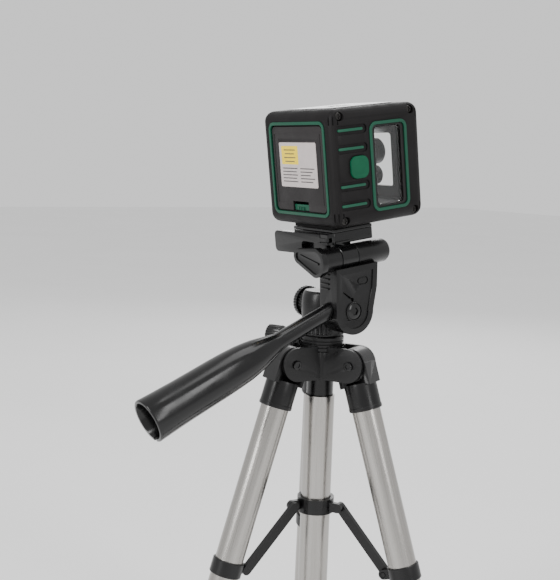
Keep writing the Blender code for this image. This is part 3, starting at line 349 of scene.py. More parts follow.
def lathe(profile, axis="Z", centre=(0, 0, 0), steps=ROUND, closed=False, radius_at=None):
    """A profile of (radius, place) points turned about an axis through centre."""
    verts = []
    rings = []
    turn = AXES[axis]
    for radius, place in profile:
        count = 1 if radius < 1e-6 else steps
        ring = []
        for i in range(count):
            angle = 2 * math.pi * i / steps
            r = radius if radius_at is None else radius_at(radius, place, angle)
            point = turn @ Vector((r * math.cos(angle), r * math.sin(angle), place))
            ring.append(len(verts))
            verts.append(tuple(point + Vector(centre)))
        rings.append(ring)
    faces = []
    pairs = list(zip(rings, rings[1:]))
    if closed:
        pairs.append((rings[-1], rings[0]))
    for a, b in pairs:
        for i in range(steps):
            corners = (
                a[i % len(a)],
                a[(i + 1) % len(a)],
                b[(i + 1) % len(b)],
                b[i % len(b)],
            )
            faces.append(tuple(dict.fromkeys(corners)))
    return shape_of(verts, faces)


def rim(radius, low, high, edge):
    """The outer side of a rod, from the top down, with its corners cut off by edge."""
    if not edge:
        return [(radius, high), (radius, low)]
    return [
        (radius - edge, high), (radius, high - edge), (radius, low + edge),
        (radius - edge, low),
    ]


def rod(radius, span, axis="Z", centre=(0, 0, 0), edge=0.0, steps=ROUND):
    low, high = sorted(span)
    return lathe([(0, high), *rim(radius, low, high, edge), (0, low)], axis, centre, steps)


def pipe(radius, bore, span, edge=0.2, steps=ROUND, axis="Z"):
    low, high = sorted(span)
    profile = [(bore, high), *rim(radius, low, high, edge), (bore, low)]
    return lathe(profile, axis, steps=steps, closed=True)


def arc(centre, radius, start, end, steps):
    angles = [math.radians(start + (end - start) * i / steps) for i in range(steps + 1)]
    return [(centre[0] + radius * math.cos(a), centre[1] + radius * math.sin(a)) for a in angles]


def rounded(x, y, radius, steps=8):
    points = []
    for cx, cy, start in (
        (x[1] - radius, y[1] - radius, 0), (x[0] + radius, y[1] - radius, 90),
        (x[0] + radius, y[0] + radius, 180), (x[1] - radius, y[0] + radius, 270),
    ):
        points += arc((cx, cy), radius, start, start + 90, steps)
    return points


def scallop(radius, depth, count, per=8):
    """A round outline with count finger hollows."""
    points = []
    for i in range(count * per):
        wave = 0.5 + 0.5 * math.cos(2 * math.pi * i / per)
        r = radius - depth * wave**2
        angle = 2 * math.pi * i / (count * per)
        points.append((r * math.cos(angle), r * math.sin(angle)))
    return points


PLANES = {
    "XY": Matrix.Identity(4),
    "XZ": Matrix(((1, 0, 0, 0), (0, 0, 1, 0), (0, 1, 0, 0), (0, 0, 0, 1))),
    "YZ": Matrix(((0, 0, 1, 0), (1, 0, 0, 0), (0, 1, 0, 0), (0, 0, 0, 1))),
}


def slab(plane, points, span, holes=()):
    """A flat outline in a plane, thick between the two ends of span along the third axis."""
    curve = bpy.data.curves.new("slab", "CURVE")
    curve.dimensions = "2D"
    curve.fill_mode = "BOTH"
    curve.extrude = abs(span[1] - span[0]) / 2 * MM
    for loop in (points, *holes):
        spline = curve.splines.new("POLY")
        spline.points.add(len(loop) - 1)
        for point, (x, y) in zip(spline.points, loop):
            point.co = (x * MM, y * MM, 0, 1)
        spline.use_cyclic_u = True
    obj = baked(linked(curve))
    middle = Matrix.Translation((0, 0, (span[0] + span[1]) / 2 * MM))
    obj.data.transform(PLANES[plane] @ middle)
    tidy(obj.data)
    return obj


def grown(pair, amount):
    return (min(pair) - amount, max(pair) + amount)


def about(middle, half):
    return (middle - half, middle + half)


def sided(side, near, far):
    """Two distances from the middle plane, on the side that the sign gives."""
    return (side * near, side * far)


def grooves(levels, radius, depth, lip, floor):
    """Profile points of round grooves at these levels, from the top down."""
    points = []
    for level in levels:
        points += [
            (radius, level + lip), (radius - depth, level + floor),
            (radius - depth, level - floor), (radius, level - lip),
        ]
    return points


def ring_slab(plane, x, y, radius, width, span):
    inner = rounded(grown(x, -width), grown(y, -width), radius - width)
    return slab(plane, rounded(x, y, radius), span, [inner])


def baked(obj):
    """The shape with its modifiers applied, as a new plain mesh object."""
    bpy.context.view_layer.update()
    graph = bpy.context.evaluated_depsgraph_get()
    mesh = bpy.data.meshes.new_from_object(obj.evaluated_get(graph))
    made = linked(mesh)
    bpy.data.objects.remove(obj, do_unlink=True)
    return made


def combined(obj, others, operation):
    for other in others:
        modifier = obj.modifiers.new("combine", "BOOLEAN")
        modifier.operation = operation
        modifier.solver = "EXACT"
        modifier.object = other
    made = baked(obj)
    for other in others:
        bpy.data.objects.remove(other, do_unlink=True)
    return made


def cut(obj, *others):
    return combined(obj, others, "DIFFERENCE")


def join(obj, *others):
    return combined(obj, others, "UNION")


def softened(obj, width, segments=3, angle=32):
    modifier = obj.modifiers.new("edges", "BEVEL")
    modifier.width = width * MM
    modifier.segments = segments
    modifier.limit_method = "ANGLE"
    modifier.angle_limit = math.radians(angle)
    return baked(obj)


def turned_by(obj, matrix):
    obj.data.transform(matrix)
    return obj


def piece(obj, name, place, body, material, replaces=(), angle=33):
    """Names a finished shape, gives it its material and lets it ride on its body.

    The mesh itself is turned, so the object's own box follows the world's axes. A tube keeps
    its own frame, because its drawn lines run along it.
    """
    obj.name = name
    obj.data.name = name
    obj.data.materials.clear()
    obj.data.materials.append(material)
    obj.data.shade_smooth()
    obj.data.set_sharp_from_angle(angle=math.radians(angle))
    if material is not ALUMINIUM:
        obj.data.transform(place.to_3x3().to_4x4())
        place = Matrix.Translation(place.translation)
    obj.matrix_world = place
    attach(obj, body)
    if replaces:
        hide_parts(*replaces)
    return obj


def keep_node(name, material, edge=0.0):
    """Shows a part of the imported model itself, with its finish and softer edges."""
    obj = frame["nodes"][name]
    obj.data.materials.clear()
    obj.data.materials.append(material)
    if edge:
        modifier = obj.modifiers.new("edges", "BEVEL")
        modifier.width = edge * MM
        modifier.segments = 2
        modifier.limit_method = "ANGLE"
        modifier.angle_limit = math.radians(40)
    return obj


# -------- materials


SHARP = (0.51, 0.56)
# How far sharp outer edges are painted paler, as a painted highlight.
EDGE_HIGHLIGHT = 0.4


class Surface:
    """A Principled material being built up from noise in the part's own coordinates."""

    def __init__(self, name, colour, roughness, metallic=0.0):
        self.material = bpy.data.materials.new(name)
        self.material.use_nodes = True
        self.nodes = self.material.node_tree.nodes
        self.links = self.material.node_tree.links
        self.shader = self.nodes["Principled BSDF"]
        self.colour = colour
        self.set("Base Color", (*colour, 1.0))
        self.set("Roughness", roughness)
        self.set("Metallic", metallic)
        self.roughness = roughness
        self.coordinates = self.nodes.new("ShaderNodeTexCoord").outputs["Object"]
        self.height = None

    def set(self, socket, value):
        self.shader.inputs[socket].default_value = value
        return self

    def scaled(self, scale):
        mapping = self.nodes.new("ShaderNodeMapping")
        mapping.inputs["Scale"].default_value = scale
        self.links.new(self.coordinates, mapping.inputs["Vector"])
        return mapping.outputs["Vector"]

    def noise(self, scale, detail=4.0, stretch=(1, 1, 1), rough=0.55):
        node = self.nodes.new("ShaderNodeTexNoise")
        node.inputs["Scale"].default_value = scale
        node.inputs["Detail"].default_value = detail
        node.inputs["Roughness"].default_value = rough
        self.links.new(self.scaled(stretch), node.inputs["Vector"])
        return node.outputs["Fac"]

    def ranged(self, value, low, high, start=0.3, end=0.7):
        node = self.nodes.new("ShaderNodeMapRange")
        node.inputs["From Min"].default_value = start
        node.inputs["From Max"].default_value = end
        node.inputs["To Min"].default_value = low
        node.inputs["To Max"].default_value = high
        self.links.new(value, node.inputs["Value"])
        return node.outputs["Result"]

    def vary_roughness(self, value, amount, start=0.3, end=0.7):
        low = max(self.roughness - amount, 0.02)
        varied = self.ranged(value, low, self.roughness + amount, start, end)
        self.links.new(varied, self.shader.inputs["Roughness"])
        return self

    def mixed(self, factor, other):
        """Blends the base colour so far toward another colour."""
        mix = self.nodes.new("ShaderNodeMix")
        mix.data_type = "RGBA"
        self.links.new(factor, mix.inputs["Factor"])
        base = self.shader.inputs["Base Color"]
        if base.links:
            self.links.new(base.links[0].from_socket, mix.inputs["A"])
        else:
            mix.inputs["A"].default_value = (*self.colour, 1.0)
        mix.inputs["B"].default_value = (*other, 1.0)
        self.links.new(mix.outputs["Result"], base)
        return self

    def vary_colour(self, value, other, start=0.35, end=0.65):
        return self.mixed(self.ranged(value, 0.0, 1.0, start, end), other)

    def painted_edge_highlights(self, colour, amount):
        """Paler colour where the surface turns a sharp outer edge: a painted highlight along the
        edges.
        """
        geometry = self.nodes.new("ShaderNodeNewGeometry")
        return self.mixed(self.ranged(geometry.outputs["Pointiness"], 0.0, amount, *SHARP), colour)

    def bump(self, value, strength, distance):
        node = self.nodes.new("ShaderNodeBump")
        node.inputs["Strength"].default_value = strength
        node.inputs["Distance"].default_value = distance * MM
        self.links.new(value, node.inputs["Height"])
        if self.height is not None:
            self.links.new(self.height, node.inputs["Normal"])
        self.height = node.outputs["Normal"]
        self.links.new(self.height, self.shader.inputs["Normal"])
        return self


def rubber(name, colour, roughness, grain=2600.0, depth=0.05):
    made = Surface(name, colour, roughness)
    made.vary_roughness(made.noise(90, 5), 0.08)
    lighter = tuple(c * 1.5 + 0.0005 for c in colour)
    made.vary_colour(made.noise(34, 6, rough=0.7), lighter, 0.42, 0.8)
    # Paler sharp edges: a painted highlight.
    made.painted_edge_highlights(tuple(c * 1.8 + 0.004 for c in colour), EDGE_HIGHLIGHT)
    made.bump(made.noise(grain, 2), 0.5, depth)
    made.set("Specular IOR Level", 0.18)
    return made.material


def moulded(name, colour, roughness, grain=1500.0, depth=0.03, coat=0.0):
    made = Surface(name, colour, roughness)
    made.vary_roughness(made.noise(70, 6, rough=0.65), 0.09)
    made.vary_colour(made.noise(25, 5), tuple(c * 1.35 + 0.0003 for c in colour), 0.45, 0.8)
    # Paler sharp edges: a painted highlight.
    made.painted_edge_highlights(tuple(c * 1.8 + 0.003 for c in colour), EDGE_HIGHLIGHT)
    made.bump(made.noise(grain, 3), 0.3, depth)
    made.bump(made.noise(160, 2), 0.1, 0.01)
    made.set("Coat Weight", coat)
    made.set("Coat Roughness", 0.12)
    made.set("Specular IOR Level", 0.33)
    return made.material


def drawn_metal(name, colour, roughness, along=(1, 1, 0.02)):
    """Metal tube with fine lines along its length and a satin anodised skin."""
    made = Surface(name, colour, roughness, 1.0)
    lines = made.noise(1900, 3, along, 0.6)
    made.vary_roughness(lines, 0.07, 0.3, 0.7)
    made.vary_colour(made.noise(420, 4, along), tuple(c * 0.86 for c in colour), 0.4, 0.75)
    made.bump(lines, 0.25, 0.012)
    made.set("Anisotropic", 0.35)
    return made.material


def film(name, colour, roughness, grain=900.0):
    made = Surface(name, colour, roughness)
    made.vary_colour(made.noise(240, 5), tuple(c * 0.93 for c in colour))
    made.vary_roughness(made.noise(130, 4), 0.06)
    made.bump(made.noise(grain, 3), 0.2, 0.01)
    made.set("Coat Weight", 0.25)
    return made.material


def clear(name, colour, roughness=0.03, tint=1.0):
    made = Surface(name, colour, roughness)
    made.set("Transmission Weight", tint)
    made.set("IOR", 1.46)
    made.vary_roughness(made.noise(60, 3), 0.02)
    return made.material


RUBBER = rubber("armour_rubber", (0.0034, 0.0028, 0.0030), 0.56)
PAD_RUBBER = rubber("pad_rubber", (0.0032, 0.0030, 0.0031), 0.78, 1800.0, 0.12)
FOOT_RUBBER = rubber("foot_rubber", (0.0045, 0.0042, 0.0040), 0.72, 1500.0, 0.10)
GLOSS = moulded("gloss_black", (0.0014, 0.0014, 0.0016), 0.21, 1300.0, 0.003, 0.15)
SATIN = moulded("satin_black", (0.0022, 0.0021, 0.0023), 0.31, 1500.0, 0.012)
CABIN = moulded("cabin_black", (0.0018, 0.0015, 0.0016), 0.45)
DOOR_SKIN = moulded("door_black", (0.0105, 0.0088, 0.0092), 0.52, 2200.0, 0.04)
GREEN = moulded("trim_green", (0.0014, 0.052, 0.027), 0.42, 1800.0, 0.02)
BUTTON_GREEN = rubber("button_green", (0.0008, 0.060, 0.028), 0.5, 2400.0, 0.04)
ALUMINIUM = drawn_metal("anodised_tube", (0.40, 0.385, 0.365), 0.27)
STEEL = drawn_metal("turned_steel", (0.38, 0.38, 0.39), 0.30, (1, 1, 1))
DARK_STEEL = drawn_metal("black_steel", (0.045, 0.043, 0.042), 0.36, (1, 1, 1))
BRASS = drawn_metal("machined_brass", (0.50, 0.36, 0.15), 0.34, (1, 1, 1))
LABEL = film("label_film", (0.50, 0.445, 0.435), 0.42)
YELLOW = film("patch_film", (0.86, 0.63, 0.004), 0.5)
INK = film("rule_ink", (0.06, 0.055, 0.055), 0.5)
PANEL = moulded("panel_grey", (0.115, 0.113, 0.115), 0.24, 900.0, 0.008, 0.25)
GLASS = clear("window_clear", (0.97, 0.985, 0.98))
LENS = clear("lens_clear", (0.75, 0.85, 0.95), 0.02, 0.85)
VIAL = clear("vial_green", (0.45, 0.85, 0.12), 0.03, 0.7)


# -------- laser


def corner_slots():
    """Short upright grip slots round the casing's four vertical edges."""
    hx, hy, hz = CASING
    centre_x = hx - CASING_ROUND
    centre_y = hy - CASING_ROUND
    verts = []
    faces = []
    reach = (CASING_ROUND - SLOT_DEPTH, CASING_ROUND + 2)
    for sx, sy, turn in product((-1, 1), (-1, 1), SLOT_TURNS):
        across = sy * math.sin(math.radians(turn))
        angle = math.atan2(across, sx * math.cos(math.radians(turn)))
        spin = Matrix.Rotation(angle, 4, "Z")
        shift = Matrix.Translation((sx * centre_x, sy * centre_y, 0)) @ spin
        for span in ((SLOT_FROM, hz + 1), (-hz - 1, -SLOT_FROM)):
            new_verts, new_faces = box_parts(reach, about(0, SLOT_HALF), span)
            faces += [tuple(i + len(verts) for i in face) for face in new_faces]
            verts += [tuple(shift @ Vector(v)) for v in new_verts]
    return shape_of(verts, faces)


def make_casing():
    hx, hy, hz = CASING
    casing = softened(boxes(((-hx, hx), (-hy, hy), (-hz, hz))), CASING_ROUND, 8)
    inner_x = hx - CASING_WALL
    cabin = boxes(((-inner_x, inner_x), CABIN_Y, CABIN_Z))
    side_windows = slab("YZ", rounded(WINDOW_Y, WINDOW_Z, 2.5), (-hx - 1, hx + 1))
    front_window = slab(
        "XZ", rounded(FRONT_WINDOW_X, FRONT_WINDOW_Z, 2.0), (CABIN_Y[1] - 2, hy + 1)
    )
    battery = boxes(((-BATTERY, BATTERY), (-hy - 1, BATTERY_DEPTH), (-BATTERY, BATTERY)))
    door = DOOR + GAP
    pocket_floor = DOOR_FACE + DOOR_THICKNESS + GAP
    pocket = slab("XZ", rounded((-door, door), (-door, door), 3.0), (-hy - 1, pocket_floor))
    swing_y = (-hy - 1, pocket_floor + SWING_DEPTH)
    swing = boxes(((-door, door), swing_y, (DOOR - SWING_HEIGHT, door)))
    rear = REAR_TRIM + 0.15
    rear_groove = slab(
        "XZ", rounded((-rear, rear), (-rear, rear), 5.0), (-hy - 1, -hy + TRIM_DEPTH)
    )
    hole_y = about(BUTTON_Y, BUTTON_HALF + GAP)
    hole_z = about(BUTTON_Z, BUTTON_HALF + GAP)
    button_hole = slab("YZ", rounded(hole_y, hole_z, 4.4, 10), (BUTTON_BACK - 2, hx + 1))
    panel_room = slab(
        "XY",
        rounded(grown(PANEL_X, 0.2), grown(PANEL_Y, 0.2), 5.0),
        (hz - PANEL_DEPTH, hz + 1),
    )
    thread_centre = (0, SCREW_Y - LASER_CENTRE[1], 0)
    thread = rod(THREAD_BORE, (-hz - 1, -hz + THREAD_DEPTH), "Z", thread_centre, steps=COARSE)
    casing = cut(
        casing, cabin, side_windows, front_window, battery, pocket, swing, rear_groove,
        button_hole, panel_room, thread,
    )
    cutters = [corner_slots()]
    for side in (-1, 1):
        outside = side * (hx + 1)
        groove_y = grown(SIDE_TRIM_Y, 0.15)
        groove_z = grown(SIDE_TRIM_Z, 0.15)
        span = (side * (hx - TRIM_DEPTH), outside)
        cutters.append(slab("YZ", rounded(groove_y, groove_z, 5.0), span))
        for level in RIB_LEVELS:
            half, depth = RIB_GROOVE
            groove = rounded(RIB_GROOVE_Y, about(level, half), RIB_GROOVE_ROUND, 6)
            cutters.append(slab("YZ", groove, (side * (hx - depth), outside)))
        for y, z in SCREW_PLACES:
            for level in (-z, z):
                deep = (side * SCREW_FLOOR, outside)
                cutters.append(rod(SCREW_HOLE, deep, "X", (0, y, level), steps=COARSE))
    casing = cut(casing, *cutters)
    front_frame = ring_slab("XZ", FRONT_FRAME_X, FRONT_FRAME_Z, 4.5, 1.3, (hy - 0.5, hy + 1))
    casing = cut(casing, front_frame)
    casing = softened(casing, 0.4, 3, 40)
    lugs = boxes(*((sided(side, *MODULE_LUG_X), MODULE_LUG_Y, MODULE_LUG_Z) for side in (1, -1)))
    casing = join(casing, lugs)
    piece(casing, "laser_armour", LASER, "laser", RUBBER, ["laser_casing"])


def make_casing_details():
    hx, hy, hz = CASING
    for side, word in ((1, "right"), (-1, "left")):
        span = sided(side, hx - TRIM_DEPTH + 0.05, hx + TRIM_PROUD)
        trim = ring_slab("YZ", SIDE_TRIM_Y, SIDE_TRIM_Z, TRIM_ROUND, TRIM_WIDTH, span)
        trim = softened(trim, 0.4, 3, 50)
        cad = [f"window_trim_{word}"]
        piece(trim, f"trim_ring_{word}", LASER, "laser", GREEN, cad)
        keep_node(f"window_pane_{word}", GLASS)
        bezel_span = sided(side, hx - 1.6, hx - 0.25)
        bezel_y = grown(SIDE_TRIM_Y, -TRIM_WIDTH - 0.1)
        bezel_z = grown(SIDE_TRIM_Z, -TRIM_WIDTH - 0.1)
        bezel = slab(
            "YZ", rounded(bezel_y, bezel_z, 3.0), bezel_span, [rounded(WINDOW_Y, WINDOW_Z, 2.4)]
        )
        piece(softened(bezel, 0.3, 2, 50), f"window_bezel_{word}", LASER, "laser", CABIN)
        strips = []
        for level in RIB_LEVELS:
            outline = rounded(RIB_Y, about(level, RIB_HALF), RIB_HALF - 0.05, 4)
            strips.append(slab("YZ", outline, sided(side, hx - 1.0, hx - 0.1)))
        strips = join(strips[0], *strips[1:])
        piece(softened(strips, 0.2, 2, 50), f"grip_strips_{word}", LASER, "laser", GREEN)
        for number, (y, z) in enumerate(SCREW_PLACES):
            for level, end in ((z, "top"), (-z, "low")):
                make_screw(f"casing_screw_{word}_{end}_{number + 1}", side, (y, level))
    rear = (-REAR_TRIM, REAR_TRIM)
    trim = ring_slab("XZ", rear, rear, TRIM_ROUND, TRIM_WIDTH, (-hy - TRIM_PROUD, -hy + 1.1))
    piece(
        softened(trim, 0.4, 3, 50), "trim_ring_rear", LASER, "laser", GREEN, ["rear_trim"]
    )
    lining = boxes(((-10.4, 10.4), (28.9, 29.15), (15.2, 18.4)))
    piece(softened(lining, 0.08, 2), "cabin_strip", LASER, "laser", STEEL)


def make_screw(name, side, place):
    """A small cross-head screw at the bottom of its hole."""
    y, z = place
    front = SCREW_X[1]
    length, width = SCREW_CROSS
    head = rod(SCREW_HEAD, sided(side, *SCREW_X), "X", (0, y, z), 0.4, COARSE)
    deep = sided(side, front - 0.6, front + 1)
    cross = boxes((deep, about(y, length), about(z, width)))
    other = boxes((deep, about(y, width), about(z, length)))
    head = cut(head, join(cross, other))
    piece(head, name, LASER, "laser", DARK_STEEL)


def make_top():
    hz = CASING[2]
    panel = slab(
        "XY", rounded(PANEL_X, PANEL_Y, 4.7), (hz - PANEL_DEPTH + 0.1, hz + PANEL_PROUD)
    )
    panel = cut(panel, rod(VIAL_RADIUS + 0.2, (hz - 3, hz + 3)))
    panel = softened(panel, 0.25, 3, 50)
    piece(panel, "top_panel", LASER, "laser", PANEL, ["casing_top_panel"])
    base = hz - PANEL_DEPTH + 0.15
    top = hz + PANEL_PROUD
    vial = lathe(
        [
            (0, top), (2.5, top - 0.02), (5.0, top - 0.15),
            (VIAL_RADIUS, top - 0.4), (VIAL_RADIUS, base), (0, base),
        ]
    )
    piece(vial, "level_vial", LASER, "laser", VIAL, ["bubble_vial"])
    ring = pipe(VIAL_RADIUS + 1.6, VIAL_RADIUS + 0.3, (hz + 0.35, hz + PANEL_PROUD + 0.05), 0.1)
    piece(ring, "vial_ring", LASER, "laser", GLOSS)


def make_button():
    hx = CASING[0]
    outline = rounded(about(BUTTON_Y, BUTTON_HALF), about(BUTTON_Z, BUTTON_HALF), 4.2, 10)
    button = slab("YZ", outline, (BUTTON_BACK, hx + BUTTON_PROUD))
    button = softened(button, 1.0, 6, 50)
    piece(button, "button_cap", LASER, "button", BUTTON_GREEN, ["mode_button"])


def make_door():
    face = DOOR_FACE
    back = DOOR_FACE + DOOR_THICKNESS
    door = slab("XZ", rounded((-DOOR, DOOR), (-DOOR, DOOR), 2.7), (face, back))
    notch = boxes((LATCH_X, (face - 1, back + 1), (-DOOR - 1, LATCH_TOP)))
    relief = boxes(((-DOOR - 1, DOOR + 1), (-1.8, 1.8), (-1.8, 1.8)))
    shift = Matrix.Translation(Vector((0, back + 0.5, DOOR + 0.5)) * MM)
    turned_by(relief, shift @ Matrix.Rotation(math.radians(45), 4, "X"))
    rule = boxes((grown(LABEL_X, 0.4), (face - 1, face + 0.25), (16.3, 17.3)))
    side_rules = boxes(
        ((-22.6, -21.9), (face - 1, face + 0.2), (-20, 20)),
        ((21.9, 22.6), (face - 1, face + 0.2), (-20, 20)),
    )
    door = softened(cut(door, notch, relief, rule, side_rules), 0.3, 2, 50)
    piece(door, "battery_cover", LASER, "door", DOOR_SKIN, ["battery_door"])
    label = slab("XZ", rounded(LABEL_X, LABEL_Z, 1.0), (face - 0.22, face - 0.03))
    piece(label, "label_film", LASER, "door", LABEL, ["rating_label"])
    patch = slab("XZ", rounded(PATCH_X, PATCH_Z, 0.5), (face - 0.27, face - 0.2))
    piece(patch, "label_patch", LASER, "door", YELLOW)
    rules = []
    on_film = (face - 0.27, face - 0.2)
    for row in range(5):
        level = 0.3 - row * 1.9
        for ends in ((-15.6, -1.0 - row % 2), (1.8, 15.4 - 2 * (row % 3))):
            rules.append((ends, on_film, about(level, 0.3)))
    on_patch = (face - 0.33, face - 0.26)
    for row in range(4):
        level = 10.9 - row * 2.2
        ends = (-13.4 + row % 2, -2.2 - row % 2)
        rules.append((ends, on_patch, about(level, 0.28)))
    piece(boxes(*rules), "label_rules", LASER, "door", INK)
    latch_x = grown(LATCH_X, -0.4)
    plate = boxes((latch_x, (face + 0.9, back), (-DOOR + 0.1, LATCH_TOP - 1.9)))
    ridges = [
        ((-3.6 + i * 1.6, -2.8 + i * 1.6), (face + 0.2, face + 1.2), (-DOOR + 0.1, -22.2))
        for i in range(4)
    ]
    latch = softened(join(plate, boxes(*ridges)), 0.12, 2, 50)
    piece(latch, "latch_tab", LASER, "latch", GREEN, ["door_latch"])


def make_battery_contacts():
    """Flat contacts and cone springs on the front wall of the battery space."""
    wall = BATTERY_DEPTH - 0.05
    plates = boxes(
        *((about(x, 5.5), (wall - 0.5, wall), (-6.0, 6.0)) for x in BATTERY_ROWS)
    )
    springs = []
    for x in BATTERY_ROWS:
        profile = [(0, wall - 0.2), (4.6, wall - 0.2)]
        for coil in range(5):
            radius = 4.6 - coil * 0.7
            place = wall - 0.6 - coil * 1.1
            profile += [(radius, place), (radius, place - 0.5), (radius - 0.7, place - 0.8)]
        profile.append((0, profile[-1][1]))
        springs.append(lathe(profile, "Y", (x, 0, 0), 40))
    contacts = join(plates, *springs)
    piece(contacts, "battery_contacts", LASER, "laser", STEEL)
    ribs = [
        (about(x, 0.6), (-24.0, BATTERY_DEPTH + 0.1), sided(side, 19.0, BATTERY + 0.1))
        for x in (-7.2, 7.2)
        for side in (-1, 1)
    ]
    piece(softened(boxes(*ribs), 0.2, 2), "battery_guides", LASER, "laser", CABIN)


def make_module(name, settings, replaced):
    level, head, barrel, front = settings
    lens = barrel * 0.62
    profile = [
        (0, front - 1.6), (lens, front - 1.4), (lens, front - 0.3), (lens + 0.4, front),
        (head - 1.1, front), (head - 0.7, front - 0.2), (head, front - 1.0),
        (head, MODULE_HEAD_BACK + 1.6), (head - 0.5, MODULE_HEAD_BACK + 1.3),
        (head - 0.5, MODULE_HEAD_BACK + 0.8), (head, MODULE_HEAD_BACK + 0.5),
        (head, MODULE_HEAD_BACK), (barrel, MODULE_HEAD_BACK), (barrel, MODULE_BACK),
        (0, MODULE_BACK),
    ]
    module = lathe(profile, "Y", (0, 0, level))
    piece(module, name, LASER, "pendulum", SATIN, [replaced])
    glass = lathe(
        [
            (0, front - 0.5), (lens * 0.6, front - 0.7), (lens - 0.1, front - 1.1),
            (lens - 0.1, front - 1.38), (0, front - 1.5),
        ],
        "Y",
        (0, 0, level),
    )
    piece(glass, f"{name}_lens", LASER, "pendulum", LENS)


def make_pendulum():
    make_module("upper_module", UPPER_MODULE, "laser_module_upper")
    make_module("lower_module", LOWER_MODULE, "laser_module_lower")
    keep_node("gimbal_ring", BRASS, 0.25)
    keep_node("pendulum_frame", SATIN, 0.2)


# -------- head


def make_plate_and_pad():
    inset = 3.9
    levels = (PLATFORM_Z[1] - PLATE_DROP, 46.2)
    key = boxes((grown(PLATFORM_X, -inset), grown(PLATFORM_Y, -inset), levels))
    flange = slab(
        "XY", rounded(PLATFORM_X, PLATFORM_Y, 1.4), (PLATFORM_Z[1] + GAP, PAD_BOTTOM - 0.1)
    )
    hole = rod(3.3, (40, 50), centre=(0, SCREW_Y, 0), steps=40)
    plate = softened(cut(join(flange, key), hole), 0.25, 2, 50)
    piece(plate, "quick_plate", TILT, "plate", GLOSS, ["mount_plate"])
    pad_x = grown(PLATFORM_X, -0.8)
    pad_y = grown(PLATFORM_Y, -0.8)
    pad = slab("XY", rounded(pad_x, pad_y, 1.2), (PAD_BOTTOM, PAD_TOP))
    grooves = [
        (grown(pad_x, 1), about(y, 0.35), (PAD_TOP - 0.5, PAD_TOP + 1))
        for y in range(-2, 24, 3)
    ]
    hole = rod(4.2, (40, 60), centre=(0, SCREW_Y, 0), steps=40)
    pad = softened(cut(pad, boxes(*grooves), hole), 0.2, 2, 50)
    piece(pad, "grip_pad", TILT, "plate", PAD_RUBBER, ["mount_pad"])


def make_mount_screw():
    top = LASER_CENTRE[2] - CASING[2] + 6
    head = PLATFORM_Z[1] - PLATE_DROP - GAP
    profile = [(0, top), (2.3, top), (3.0, top - 0.7)]
    level = top - 0.7
    while level > head + 1.5:
        profile += [(3.0, level), (2.65, level - 0.4), (3.0, level - 0.8)]
        level -= 0.8
    profile += [(3.0, head), (5.9, head), (6.2, head - 0.3)]
    profile += [(6.2, head - 1.9), (5.9, head - 2.2), (0, head - 2.2)]
    screw = lathe(profile, centre=(0, SCREW_Y, 0))
    slot = boxes(((-7, 7), about(SCREW_Y, 0.6), (head - 3, head - 1.0)))
    piece(cut(screw, slot), "camera_screw", TILT, "plate_screw", STEEL, ["mount_screw"])


def make_platform():
    low, high = PLATFORM_Z
    body = softened(slab("XY", rounded(PLATFORM_X, PLATFORM_Y, 1.6), (low, high)), 0.7, 3, 50)
    flip_x, flip_z = FLIP
    web_y = grown(BARREL_MIDDLE, -0.4)
    web = boxes(((flip_x - 5.0, flip_x), web_y, (flip_z, low + 1.5)))
    knuckle = rod(BARREL, BARREL_MIDDLE, "Y", (flip_x, 0, flip_z), 0.3)
    skirt = softened(boxes((SKIRT_X, SKIRT_Y, (SKIRT_BOTTOM, low + 0.6))), 0.5, 3)
    ear_x = (12.6, PLATFORM_X[1] - 0.3)
    ear_y = (LEVER_Y[0], PLATFORM_Y[0] + 1.5)
    ears = boxes((ear_x, ear_y, (high - 2.2, high - 0.3)), (ear_x, ear_y, (low + 0.2, low + 1.6)))
    body = join(body, web, skirt, knuckle, ears)
    pin = rod(2.3, (-10, 12), "Y", (flip_x, 0, flip_z), steps=COARSE)
    ear_hole = rod(1.3, (low - 1, high + 1), centre=(LEVER_PIN_X, sum(LEVER_Y) / 2, 0), steps=24)
    recess = boxes(
        (grown(PLATFORM_X, -3.5), grown(PLATFORM_Y, -3.5), (high - PLATE_DROP - GAP, high + 1))
    )
    screw_room = rod(7.0, (low - 1, high), centre=(0, SCREW_Y, 0))
    front_line = boxes(((-15, 15), (PLATFORM_Y[1] - 0.3, PLATFORM_Y[1] + 1), (41.4, 42.2)))
    body = cut(body, pin, ear_hole, recess, screw_room, front_line)
    body = softened(body, 0.15, 2, 50)
    piece(body, "head_platform", TILT, "flip", GLOSS, ["platform"])


def make_lever():
    x0, x1 = LEVER_X
    z0, z1 = LEVER_Z
    step_x, step_z = LEVER_STEP
    outline = [
        *arc((x0 + 3, z0 + 3), 3, 180, 270, 8),
        *arc((step_x - 2, z0 + 0.6 + 2), 2, 270, 360, 6),
        *reversed(arc((step_x + 2.5, step_z - 2.5), 2.5, 90, 180, 6)), (x1, step_z), (x1, z1),
        *arc((x0 + 3, z1 - 3.6), 3, 90, 180, 8),
    ]
    tab = softened(slab("XZ", outline, LEVER_Y), 0.8, 4, 50)
    middle = sum(LEVER_Y) / 2
    eye = rod((LEVER_Y[1] - LEVER_Y[0]) / 2, (40.8, 42.9), centre=(LEVER_PIN_X, middle, 0))
    bridge = boxes(((11.0, LEVER_PIN_X), LEVER_Y, (40.8, 42.9)))
    pin = rod(1.0, (39.1, 45.0), centre=(LEVER_PIN_X, middle, 0), steps=24)
    tab = join(tab, bridge, eye, pin)
    piece(tab, "quick_release_lever", TILT, "lever", GLOSS, ["release_lever"])


def arm_outline(inset=0.0):
    radius = ARM_ROUND - inset
    bottom = arc((0, 0), radius, 188, 356, 40)
    rear = (ARM_TOP_Y[0] + inset, ARM_TOP - inset)
    return [rear, *bottom, (17.4 - inset, 12.0), (ARM_TOP_Y[1] - inset, ARM_TOP - inset)]


